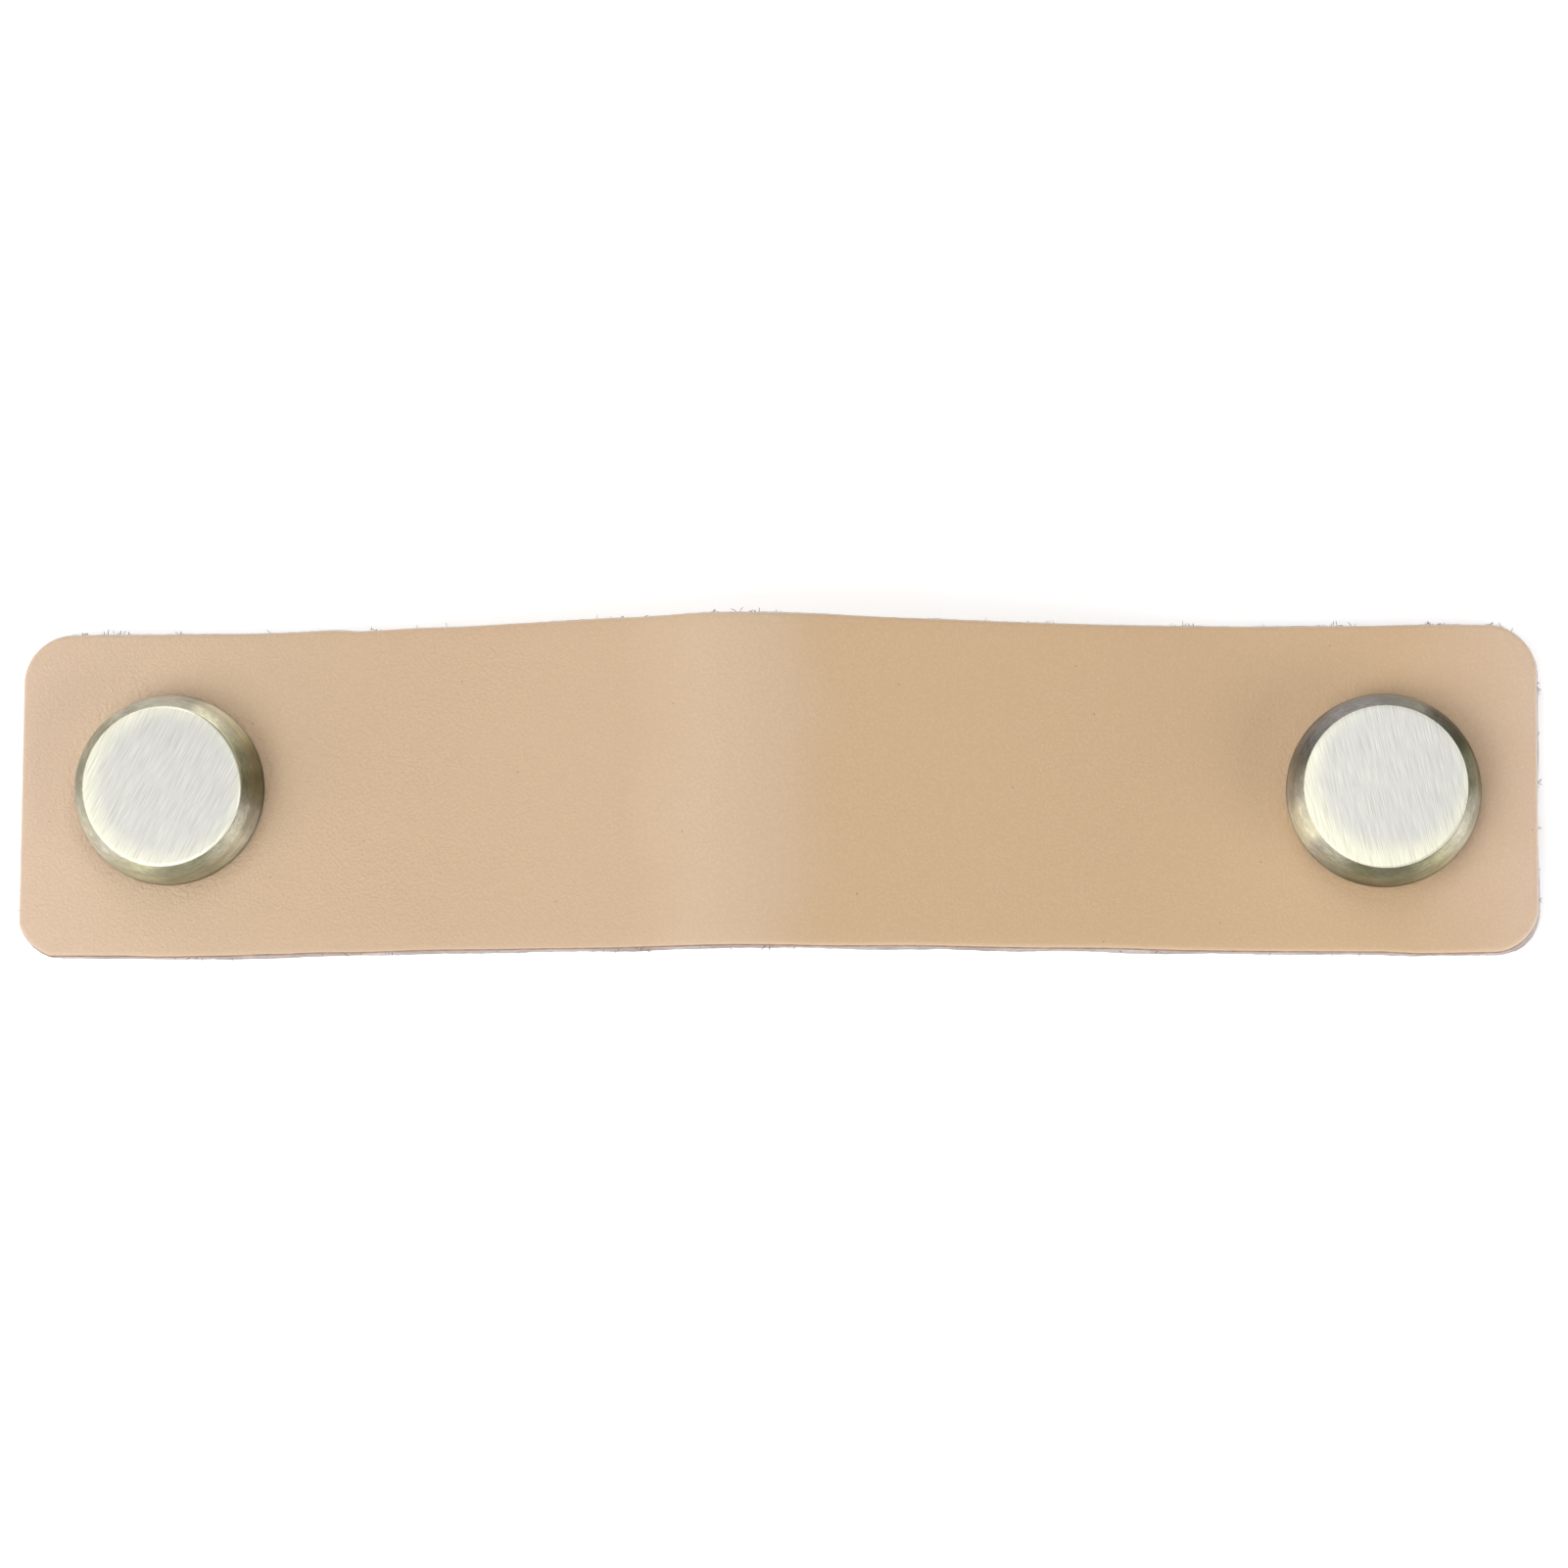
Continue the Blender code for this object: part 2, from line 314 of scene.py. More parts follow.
def coated_faux_leather(colours, sizes, cap):
    """Polyurethane coat on faux leather, embossed with a fine grain and calendered.

    The eye sees an even tan with a soft sheen, tiny pebbles that show where the light grazes, a few longer
    creases, and here and there a pinhole.
    """
    material, tree = new_material("coated_faux_leather")
    place = add(tree, "ShaderNodeTexCoord").outputs["Object"]
    # Pebbles a quarter of a millimetre across; the real ones are from 0.15 mm
    pebbles = add(
        tree, "ShaderNodeTexVoronoi", Vector=place, Scale=1 / (0.26 * MM), Smoothness=0.35, Randomness=0.95,
        feature="SMOOTH_F1",
    )
    fine = add(tree, "ShaderNodeTexNoise", Vector=place, Scale=1 / (0.2 * MM), Detail=2.0, Roughness=0.5)
    # Creases run across the strap, a millimetre or two long
    across = add(
        tree, "ShaderNodeMapping", Vector=place, Scale=(0.3 * MM, 1.2 * MM, 1.2 * MM),
        Rotation=(0.0, 0.0, math.radians(-5)), vector_type="TEXTURE",
    )
    creases = add(tree, "ShaderNodeTexNoise", Vector=across, Scale=1.0, Detail=2.0, Distortion=0.4)
    broad = add(tree, "ShaderNodeTexNoise", Vector=place, Scale=1 / (14 * MM), Detail=2.0)
    grain_depth = add(
        tree, "ShaderNodeMapRange", broad.outputs["Fac"], 0.35, 0.65, 0.45, 1.0,
        interpolation_type="SMOOTHSTEP",
    )
    pebble_height = add(
        tree, "ShaderNodeMath", pebbles.outputs["Distance"], grain_depth, operation="MULTIPLY"
    )
    height = add(tree, "ShaderNodeMath", pebble_height, -1.3, fine.outputs["Fac"], operation="MULTIPLY_ADD")
    height = add(tree, "ShaderNodeMath", creases.outputs["Fac"], 0.35, height, operation="MULTIPLY_ADD")
    # The coat puckers where a cap presses on it
    axes = add(tree, "ShaderNodeSeparateXYZ", place).outputs
    from_middle = add(tree, "ShaderNodeMath", axes[0], operation="ABSOLUTE")
    from_cap = add(tree, "ShaderNodeMath", from_middle, sizes.screw_spacing / 2, operation="SUBTRACT")
    away = add(tree, "ShaderNodeCombineXYZ", from_cap, axes[1], 0.0)
    away = add(tree, "ShaderNodeVectorMath", away, operation="LENGTH")
    near_cap = add(
        tree, "ShaderNodeMapRange", away.outputs["Value"], cap.diameter / 2, cap.diameter / 2 + 1.8 * MM,
        1.0, 0.0, interpolation_type="SMOOTHSTEP",
    )
    pucker = add(tree, "ShaderNodeTexNoise", Vector=place, Scale=1 / (0.8 * MM), Detail=2.0, Distortion=1.2)
    pucker = add(tree, "ShaderNodeMath", pucker.outputs["Fac"], near_cap, operation="MULTIPLY")
    height = add(tree, "ShaderNodeMath", pucker, 2.8, height, operation="MULTIPLY_ADD")
    # Half of the grain is worn away at the crest and to the right of it
    worn = add(
        tree, "ShaderNodeMapRange", axes[0], -24 * MM, -2 * MM, 0.85, 0.42, interpolation_type="SMOOTHSTEP"
    )
    bump = add(tree, "ShaderNodeBump", Strength=worn, Distance=0.05 * MM, Height=height)
    end = sizes.screw_spacing / 2 + sizes.end_margin
    # The colour runs from pale at the left end over a pale crest to warm and then pale at the right end,
    # unevenly.
    # The pale ends are painted sheen at the left and painted light over the right cap's shadow at the
    # right; the pale crest is a painted highlight, and the paler coat by the left cap is painted light over
    # its shadow.
    patches = add(tree, "ShaderNodeTexNoise", Vector=place, Scale=1 / (9 * MM), Detail=3.0, Roughness=0.6)
    along = add(tree, "ShaderNodeMapRange", axes[0], -end, end)
    uneven = add(tree, "ShaderNodeMath", patches.outputs["Fac"], 0.06, -0.03, operation="MULTIPLY_ADD")
    along = add(tree, "ShaderNodeMath", along, uneven, operation="ADD")
    tan = add(tree, "ShaderNodeValToRGB", along)
    stops = tan.color_ramp.elements
    stops[0].color = rgba(colours.coat_end_painted_light)
    stops[1].color = rgba(colours.coat_end_painted_light)
    for position, chosen in (
        (0.12, colours.coat_painted_highlight),
        (0.26, colours.coat),
        (0.41, colours.coat),
        (0.46, colours.coat_painted_highlight),
        (0.505, colours.coat_painted_highlight),
        (0.545, colours.coat_warm),
        (0.91, colours.coat_warm),
    ):
        stops.new(position).color = rgba(chosen)
    # Painted sheen: the pebbles' crowns are a little paler than their valleys
    pebble_crown_sheen = add(tree, "ShaderNodeMapRange", pebbles.outputs["Distance"], 0.05, 0.55, 1.05, 0.975)
    toned = add(tree, "ShaderNodeVectorMath", tan.outputs["Color"], Scale=pebble_crown_sheen, operation="SCALE")
    # Pinholes about a tenth of a millimetre wide, about one to every square centimetre and a half; their
    # dark colour is painted shade in the holes
    pinholes = add(
        tree, "ShaderNodeTexVoronoi", Vector=place, Scale=1 / (12 * MM), Randomness=1.0,
        voronoi_dimensions="2D",
    )
    in_pinhole = add(tree, "ShaderNodeMapRange", pinholes.outputs["Distance"], 0.003, 0.006, 0.55, 0.0)
    dotted = add(tree, "ShaderNodeMix", in_pinhole, i6=toned, i7=rgba(colours.pinhole_shade), data_type="RGBA")
    # The rim attribute mixes in a pale colour along the rolled edge: a painted highlight
    stretched = add(tree, "ShaderNodeAttribute", attribute_name="rim")
    rim_painted_highlight = add(
        tree, "ShaderNodeMix", stretched.outputs["Fac"], i6=dotted.outputs[2], i7=rgba(colours.rim),
        data_type="RGBA",
    )
    rough = add(tree, "ShaderNodeMapRange", fine.outputs["Fac"], 0.3, 0.7, 0.5, 0.6)
    shader = add(
        tree, "ShaderNodeBsdfPrincipled", Base_Color=rim_painted_highlight.outputs[2], Roughness=rough, IOR=1.5, Normal=bump
    )
    finish_material(tree, shader)
    return material


def cut_coat(colours):
    """The coat where the blade went through it: burnished brown, a thin line along the edge."""
    material, tree = new_material("cut_coat_film")
    place = add(tree, "ShaderNodeTexCoord").outputs["Object"]
    streaks = add(tree, "ShaderNodeTexNoise", Vector=place, Scale=1 / (0.8 * MM), Detail=3.0)
    tone = add(tree, "ShaderNodeMapRange", streaks.outputs["Fac"], 0.3, 0.7, 0.75, 1.25)
    brown = add(tree, "ShaderNodeVectorMath", tuple(colours.film), Scale=tone, operation="SCALE")
    shader = add(tree, "ShaderNodeBsdfPrincipled", Base_Color=brown, Roughness=0.6)
    finish_material(tree, shader)
    return material


def cut_fibre_core(colours):
    """Pressed fibre core, die cut: pale grey, matt, with torn layers and darker brown fibres in it."""
    material, tree = new_material("cut_fibre_core")
    place = add(tree, "ShaderNodeTexCoord").outputs["Object"]
    # Layers lie flat, so the pattern is fine through the thickness and long along the edge
    layered = add(
        tree, "ShaderNodeMapping", Vector=place, Scale=(0.45 * MM, 0.45 * MM, 0.1 * MM),
        vector_type="TEXTURE",
    )
    layers = add(tree, "ShaderNodeTexNoise", Vector=layered, Scale=1.0, Detail=4.0, Roughness=0.65)
    patches = add(
        tree, "ShaderNodeTexNoise", Vector=place, Scale=1 / (5.0 * MM), Detail=4.0, Roughness=0.65
    )
    mixed = add(tree, "ShaderNodeMath", layers.outputs["Fac"], patches.outputs["Fac"], operation="MULTIPLY")
    dark = add(tree, "ShaderNodeMapRange", mixed, 0.14, 0.38, 0.85, 0.0, interpolation_type="SMOOTHSTEP")
    grey = add(
        tree, "ShaderNodeMix", dark, i6=rgba(colours.core), i7=rgba(colours.core_dark), data_type="RGBA"
    )
    bump = add(tree, "ShaderNodeBump", Strength=0.8, Distance=0.05 * MM, Height=layers.outputs["Fac"])
    shader = add(
        tree, "ShaderNodeBsdfPrincipled", Base_Color=grey.outputs[2], Roughness=0.9, Normal=bump,
        Specular_IOR_Level=0.25,
    )
    finish_material(tree, shader)
    return material


def fleece_backing(colours):
    """Nonwoven fleece, rolled on: matt beige felt of crossed fibres."""
    material, tree = new_material("nonwoven_fleece_backing")
    place = add(tree, "ShaderNodeTexCoord").outputs["Object"]
    lay = []
    # Fibres are about 0.02 mm thick; drawn 0.09 mm so that they show
    for turn in (-35, 20, 78):
        along = add(
            tree, "ShaderNodeMapping", Vector=place, Rotation=(0.0, 0.0, math.radians(turn)),
            Scale=(1.3 * MM, 0.09 * MM, 0.5 * MM), vector_type="TEXTURE",
        )
        lay.append(add(tree, "ShaderNodeTexNoise", Vector=along, Scale=1.0, Detail=1.5, Distortion=0.5))
    felt = add(tree, "ShaderNodeMath", lay[0].outputs["Fac"], lay[1].outputs["Fac"], operation="MAXIMUM")
    felt = add(tree, "ShaderNodeMath", felt, lay[2].outputs["Fac"], operation="MAXIMUM")
    tone = add(tree, "ShaderNodeMapRange", felt, 0.45, 0.75, 0.78, 1.08)
    clouds = add(tree, "ShaderNodeTexNoise", Vector=place, Scale=1 / (5 * MM), Detail=2.0)
    cloud_tone = add(tree, "ShaderNodeMapRange", clouds.outputs["Fac"], 0.3, 0.7, 0.93, 1.05)
    both = add(tree, "ShaderNodeMath", tone, cloud_tone, operation="MULTIPLY")
    beige = add(tree, "ShaderNodeVectorMath", tuple(colours.backing), Scale=both, operation="SCALE")
    bump = add(tree, "ShaderNodeBump", Strength=0.7, Distance=0.06 * MM, Height=felt)
    shader = add(
        tree, "ShaderNodeBsdfPrincipled", Base_Color=beige, Roughness=0.92, Normal=bump,
        Specular_IOR_Level=0.2,
    )
    finish_material(tree, shader)
    return material


def loose_fibre(colours):
    """Polyester and cotton fibre torn out by the die: matt, brownish grey, no two quite alike."""
    material, tree = new_material("loose_core_fibre")
    place = add(tree, "ShaderNodeTexCoord").outputs["Object"]
    change = add(tree, "ShaderNodeTexNoise", Vector=place, Scale=1 / (0.6 * MM), Detail=1.0)
    tone = add(tree, "ShaderNodeMapRange", change.outputs["Fac"], 0.35, 0.65, 0.6, 1.3)
    brown = add(tree, "ShaderNodeVectorMath", tuple(colours.fibre), Scale=tone, operation="SCALE")
    shader = add(tree, "ShaderNodeBsdfPrincipled", Base_Color=brown, Roughness=0.85)
    finish_material(tree, shader)
    return material


def beyond_circle(tree, place, centre, shift, start, end):
    """0 up to the radius start, rising to 1 at the radius end, round a point shift away from the centre.

    The shift and both radii are in millimetres.
    """
    centred = add(
        tree, "ShaderNodeMapping", Vector=place,
        Location=(centre[0] + shift[0] * MM, centre[1] + shift[1] * MM, 0.0), vector_type="TEXTURE",
    )
    flat = add(tree, "ShaderNodeVectorMath", centred, (1.0, 1.0, 0.0), operation="MULTIPLY")
    radius = add(tree, "ShaderNodeVectorMath", flat, operation="LENGTH")
    beyond = add(
        tree, "ShaderNodeMapRange", radius.outputs["Value"], start * MM, end * MM,
        interpolation_type="SMOOTHSTEP",
    )
    return beyond.outputs[0]


def brushed_top(name, centre, worn, dull, brush, painted_light, colours):
    """Antique brass plate, its flat top brushed straight on a belt until pale brass shows.

    The eye sees fine parallel lines, brighter and darker, a satin gleam spread across them, and a creamier
    ring where the belt cut deepest near the rim.
    """
    material, tree = new_material(name)
    place = add(tree, "ShaderNodeTexCoord").outputs["Object"]
    lines = []
    # Scratches of a fine grit are 0.02 mm wide; these are drawn 0.075 mm and 0.3 mm wide so that they show
    for long, wide in ((2.4 * MM, 0.075 * MM), (7.0 * MM, 0.3 * MM)):
        along = add(
            tree, "ShaderNodeMapping", Vector=place, Location=(*centre, 0.0), Rotation=(0.0, 0.0, brush),
            Scale=(long, wide, 1.0), vector_type="TEXTURE",
        )
        lines.append(add(tree, "ShaderNodeTexNoise", Vector=along, Scale=1.0, Detail=2.0, Roughness=0.6))
    fine, coarse = lines
    both = add(
        tree, "ShaderNodeMath", coarse.outputs["Fac"], 0.22, fine.outputs["Fac"], operation="MULTIPLY_ADD"
    )
    # The belt bit deepest on the side away from the shifted middle of the ring, worn
    near_rim = beyond_circle(tree, place, centre, worn, 4.6, 7.0)
    base = add(
        tree, "ShaderNodeMix", near_rim, i6=rgba(colours.polished), i7=rgba(colours.rim), data_type="RGBA"
    )
    # The tone is scaled per cap: painted light or shade that makes one top lighter or darker than the other
    tone = add(tree, "ShaderNodeMapRange", both, 0.4, 0.85, 0.79 * painted_light, 1.14 * painted_light)
    lined = add(tree, "ShaderNodeVectorMath", base.outputs[2], Scale=tone, operation="SCALE")
    # The patina colour covers the outermost band of the top, on the side away from dull
    untouched = beyond_circle(tree, place, centre, dull, 6.85, 7.05)
    rimmed = add(tree, "ShaderNodeMix", untouched, i6=lined, i7=rgba(colours.patina), data_type="RGBA")
    bump = add(tree, "ShaderNodeBump", Strength=0.25, Distance=0.004 * MM, Height=both)
    spread = add(tree, "ShaderNodeAttribute", attribute_name="spread")
    shader = add(
        tree, "ShaderNodeBsdfPrincipled", Base_Color=rimmed.outputs[2], Metallic=1.0, Roughness=0.42,
        Anisotropic=0.7, Normal=bump, Tangent=spread.outputs["Vector"],
    )
    finish_material(tree, shader)
    return material


def brushed_shoulder(name, rim_place, foot_place, colours):
    """Antique brass plate on the shoulder, brushed round on a lathe.

    The eye sees fine rings, dark patina left in streaks along them, patches of olive and violet grey, and
    gleams that start and end round the cap but run the whole way down the shoulder. Part of the gleams and
    of the darker patches round the cap is painted highlight and painted shade in the colour, and so are the
    dark bands at the rim and at the foot. Its rim and its foot lie rim_place and foot_place millimetres
    along the cap's profile.
    """
    material, tree = new_material(name)
    turned = add(tree, "ShaderNodeAttribute", attribute_name="turned").outputs["Vector"]
    rings = []
    # Rings 0.05 mm and 0.12 mm wide, drawn coarser than the 0.02 mm of the grit, then broad patches of wear
    # and short marks down the slope, each as (how often round the cap, width down the slope in millimetres)
    for round_scale, wide in ((9.0, 0.05), (14.0, 0.12), (2.2, 1.4), (58.0, 0.9)):
        stretched = add(
            tree, "ShaderNodeVectorMath", turned, (round_scale, round_scale, 1 / wide), operation="MULTIPLY"
        )
        rings.append(
            add(tree, "ShaderNodeTexNoise", Vector=stretched, Scale=1.0, Detail=3.0, Roughness=0.6)
        )
    fine, streaks, patches, slope_marks = rings
    worn = add(tree, "ShaderNodeMath", streaks.outputs["Fac"], patches.outputs["Fac"], operation="ADD")
    worn = add(tree, "ShaderNodeMapRange", worn, 0.85, 1.2, 0.5, 0.0, interpolation_type="SMOOTHSTEP")
    finish = add(tree, "ShaderNodeAttribute", attribute_name="finish")
    share = add(tree, "ShaderNodeSeparateXYZ", finish.outputs["Vector"])
    gleam_painted_light, hue = share.outputs[:2]
    # Patches of olive and of violet grey over the plain finish
    tint = rgba(colours.shoulder)
    for sign, patch in ((1.0, colours.olive), (-1.0, colours.violet)):
        part = add(tree, "ShaderNodeMath", hue, sign, operation="MULTIPLY", use_clamp=True)
        tint = add(tree, "ShaderNodeMix", part, i6=tint, i7=rgba(patch), data_type="RGBA").outputs[2]
    base = add(tree, "ShaderNodeMix", worn, i6=tint, i7=rgba(colours.patina), data_type="RGBA")
    tone = add(tree, "ShaderNodeMapRange", fine.outputs["Fac"], 0.3, 0.7, 0.92, 1.07)
    # Painted highlight and painted shade: the patches lighten or darken the finish round the cap
    rubbed = add(tree, "ShaderNodeMath", tone, gleam_painted_light, tone, operation="MULTIPLY_ADD")
    # Painted shade: the finish is darkened to half towards the foot, where the cap meets the leather
    travelled = add(tree, "ShaderNodeSeparateXYZ", turned)
    foot = add(
        tree, "ShaderNodeMapRange", travelled.outputs[2], foot_place - 0.75, foot_place, 1.0, 0.5,
        interpolation_type="SMOOTHSTEP",
    )
    rubbed = add(tree, "ShaderNodeMath", rubbed, foot, operation="MULTIPLY")
    # Painted shade: a dark band just outside the rim tones down the gleam there
    rim_band_painted_shade = add(
        tree, "ShaderNodeMapRange", travelled.outputs[2], rim_place, rim_place + 0.22, 0.6, 1.0,
        interpolation_type="SMOOTHSTEP",
    )
    rubbed = add(tree, "ShaderNodeMath", rubbed, rim_band_painted_shade, operation="MULTIPLY")
    lined = add(tree, "ShaderNodeVectorMath", base.outputs[2], Scale=rubbed, operation="SCALE")
    # Marks of the final hand polish run down the slope; they break up a gleam where it starts and ends
    marks = add(
        tree, "ShaderNodeMath", slope_marks.outputs["Fac"], 1.6, fine.outputs["Fac"],
        operation="MULTIPLY_ADD",
    )
    bump = add(tree, "ShaderNodeBump", Strength=0.25, Distance=0.008 * MM, Height=marks)
    spread = add(tree, "ShaderNodeAttribute", attribute_name="spread")
    shader = add(
        tree, "ShaderNodeBsdfPrincipled", Base_Color=lined, Metallic=1.0, Roughness=0.42, Anisotropic=0.95,
        Normal=bump, Tangent=spread.outputs["Vector"],
    )
    finish_material(tree, shader)
    return material


def turned_brass(name, colours):
    """Bare brass left from the lathe: warm, fairly bright, with close feed marks round the axis."""
    material, tree = new_material(name)
    turned = add(tree, "ShaderNodeAttribute", attribute_name="turned").outputs["Vector"]
    stretched = add(tree, "ShaderNodeVectorMath", turned, (0.6, 0.6, 1 / 0.08), operation="MULTIPLY")
    marks = add(tree, "ShaderNodeTexNoise", Vector=stretched, Scale=1.0, Detail=2.0)
    tone = add(tree, "ShaderNodeMapRange", marks.outputs["Fac"], 0.3, 0.7, 0.82, 1.1)
    warm = add(tree, "ShaderNodeVectorMath", tuple(colours.turned), Scale=tone, operation="SCALE")
    bump = add(tree, "ShaderNodeBump", Strength=0.3, Distance=0.01 * MM, Height=marks.outputs["Fac"])
    shader = add(
        tree, "ShaderNodeBsdfPrincipled", Base_Color=warm, Metallic=1.0, Roughness=0.34, Normal=bump
    )
    finish_material(tree, shader)
    return material


def white_acrylic(colours):
    """Opal acrylic sheet, cast and lit a little from below: even white with hardly a shadow on it."""
    material, tree = new_material("opal_acrylic_sheet")
    shader = add(
        tree, "ShaderNodeBsdfPrincipled", Base_Color=rgba(colours.floor), Roughness=0.6,
        Emission_Color=(1.0, 1.0, 1.0, 1.0), Emission_Strength=colours.glow,
    )
    finish_material(tree, shader)
    return material


# The strap's bow


def bow(sizes):
    """The bow's middle line on one side: foot and crest radius, ramp length, ramp angle and flat run."""
    run = sizes.screw_spacing / 2 - sizes.seat_length
    crest = sizes.crest_radius + sizes.thickness / 2
    widest = (run**2 + sizes.bow_rise**2) / (2 * sizes.bow_rise)
    foot = min(sizes.foot_radius + sizes.thickness / 2, widest - crest)
    bends = foot + crest
    ramp = math.sqrt(max(0.0, run**2 + sizes.bow_rise**2 - 2 * sizes.bow_rise * bends))
    angle = math.atan2(sizes.bow_rise - bends, run) - math.atan2(-bends, ramp)
    return foot, crest, ramp, angle, run


def bow_group():
    """A node group that bends a flat blank along the bow. The blank's X runs along the middle line."""
    tree = bpy.data.node_groups.new("Bend along the bow", "GeometryNodeTree")
    face = tree.interface
    face.new_socket("Geometry", in_out="INPUT", socket_type="NodeSocketGeometry")
    for name in bow_values(bpy.context.scene.strap_sizes):
        face.new_socket(name, in_out="INPUT", socket_type="NodeSocketFloat")
    face.new_socket("Geometry", in_out="OUTPUT", socket_type="NodeSocketGeometry")
    given = add(tree, "NodeGroupInput").outputs

    def math_node(operation, a, b=0.0, c=0.0):
        return add(tree, "ShaderNodeMath", a, b, c, operation=operation).outputs[0]

    crest, foot = given["Crest Radius"], given["Foot Radius"]
    ramp, angle = given["Ramp Length"], given["Ramp Angle"]
    position = add(tree, "GeometryNodeInputPosition").outputs[0]
    blank = add(tree, "ShaderNodeSeparateXYZ", position).outputs
    side = math_node("SIGN", blank[0])
    along = math_node("ABSOLUTE", blank[0])
    crest_arc = math_node("MULTIPLY", crest, angle)
    foot_arc = math_node("MULTIPLY", foot, angle)
    after_crest = math_node("MAXIMUM", math_node("SUBTRACT", along, crest_arc), 0.0)
    after_ramp = math_node("MAXIMUM", math_node("SUBTRACT", after_crest, ramp), 0.0)
    on_seat = math_node("MAXIMUM", math_node("SUBTRACT", after_ramp, foot_arc), 0.0)
    crest_turn = math_node("DIVIDE", math_node("MINIMUM", along, crest_arc), crest)
    on_ramp = math_node("MINIMUM", after_crest, ramp)
    foot_turn = math_node("DIVIDE", math_node("MINIMUM", after_ramp, foot_arc), foot)
    left_to_turn = math_node("SUBTRACT", angle, foot_turn)
    slope = math_node("SUBTRACT", crest_turn, foot_turn)
    x = math_node("MULTIPLY_ADD", crest, math_node("SINE", crest_turn), on_seat)
    x = math_node("MULTIPLY_ADD", on_ramp, math_node("COSINE", angle), x)
    foot_x = math_node("SUBTRACT", math_node("SINE", angle), math_node("SINE", left_to_turn))
    x = math_node("MULTIPLY_ADD", foot, foot_x, x)
    drop = math_node("MULTIPLY", crest, math_node("SUBTRACT", 1.0, math_node("COSINE", crest_turn)))
    drop = math_node("MULTIPLY_ADD", on_ramp, math_node("SINE", angle), drop)
    foot_drop = math_node("SUBTRACT", math_node("COSINE", left_to_turn), math_node("COSINE", angle))
    drop = math_node("MULTIPLY_ADD", foot, foot_drop, drop)
    above = math_node("SUBTRACT", blank[2], math_node("MULTIPLY", given["Thickness"], 0.5))
    x = math_node("MULTIPLY_ADD", above, math_node("SINE", slope), x)
    z = math_node("SUBTRACT", given["Crest Height"], drop)
    z = math_node("MULTIPLY_ADD", above, math_node("COSINE", slope), z)
    near_crest = math_node("MAXIMUM", math_node("SUBTRACT", 1.0, math_node("DIVIDE", x, given["Run"])), 0.0)
    x = math_node("MULTIPLY", x, side)
    x = math_node("MULTIPLY_ADD", given["Offset"], near_crest, x)
    bent = add(tree, "ShaderNodeCombineXYZ", x, blank[1], z)
    placed = add(tree, "GeometryNodeSetPosition", Geometry=given["Geometry"], Position=bent)
    add(tree, "NodeGroupOutput", placed)
    return tree


def bow_values(sizes):
    """The named inputs of the bow's node group."""
    foot, crest, ramp, angle, run = bow(sizes)
    return {
        "Crest Radius": crest,
        "Foot Radius": foot,
        "Ramp Length": ramp,
        "Ramp Angle": angle,
        "Crest Height": sizes.bow_rise + sizes.thickness / 2,
        "Thickness": sizes.thickness,
        "Offset": sizes.crest_offset,
        "Run": run,
    }


def tree_with_bow(name, more_inputs):
    """A new geometry tree with the bow's named inputs and others, its input node and the bow's node."""
    tree = bpy.data.node_groups.new(name, "GeometryNodeTree")
    face = tree.interface
    face.new_socket("Geometry", in_out="INPUT", socket_type="NodeSocketGeometry")
    for socket_name, kind in more_inputs:
        face.new_socket(socket_name, in_out="INPUT", socket_type=kind)
    group = bpy.data.node_groups.get("Bend along the bow") or bow_group()
    for item in group.interface.items_tree:
        if item.in_out == "INPUT" and item.name != "Geometry":
            face.new_socket(item.name, in_out="INPUT", socket_type="NodeSocketFloat")
    face.new_socket("Geometry", in_out="OUTPUT", socket_type="NodeSocketGeometry")
    given = add(tree, "NodeGroupInput").outputs
    bend = add(tree, "GeometryNodeGroup", node_tree=group)
    for socket in bend.inputs:
        if socket.name != "Geometry":
            tree.links.new(given[socket.name], socket)
    return tree, given, bend


def strap_tree(materials):
    """Bends the blank and gives each zone of its faces the material of that zone."""
    tree, given, bend = tree_with_bow("Strap on its bow", ())
    tree.links.new(given["Geometry"], bend.inputs["Geometry"])
    last = add(tree, "GeometryNodeRealizeInstances", bend)
    zone = add(tree, "GeometryNodeInputNamedAttribute", Name="zone", data_type="INT").outputs["Attribute"]
    for number, material in enumerate(materials):
        chosen = add(tree, "FunctionNodeCompare", i2=zone, i3=number, data_type="INT", operation="EQUAL")
        last = add(tree, "GeometryNodeSetMaterial", Geometry=last, Selection=chosen, Material=material)
    add(tree, "NodeGroupOutput", last)
    return tree


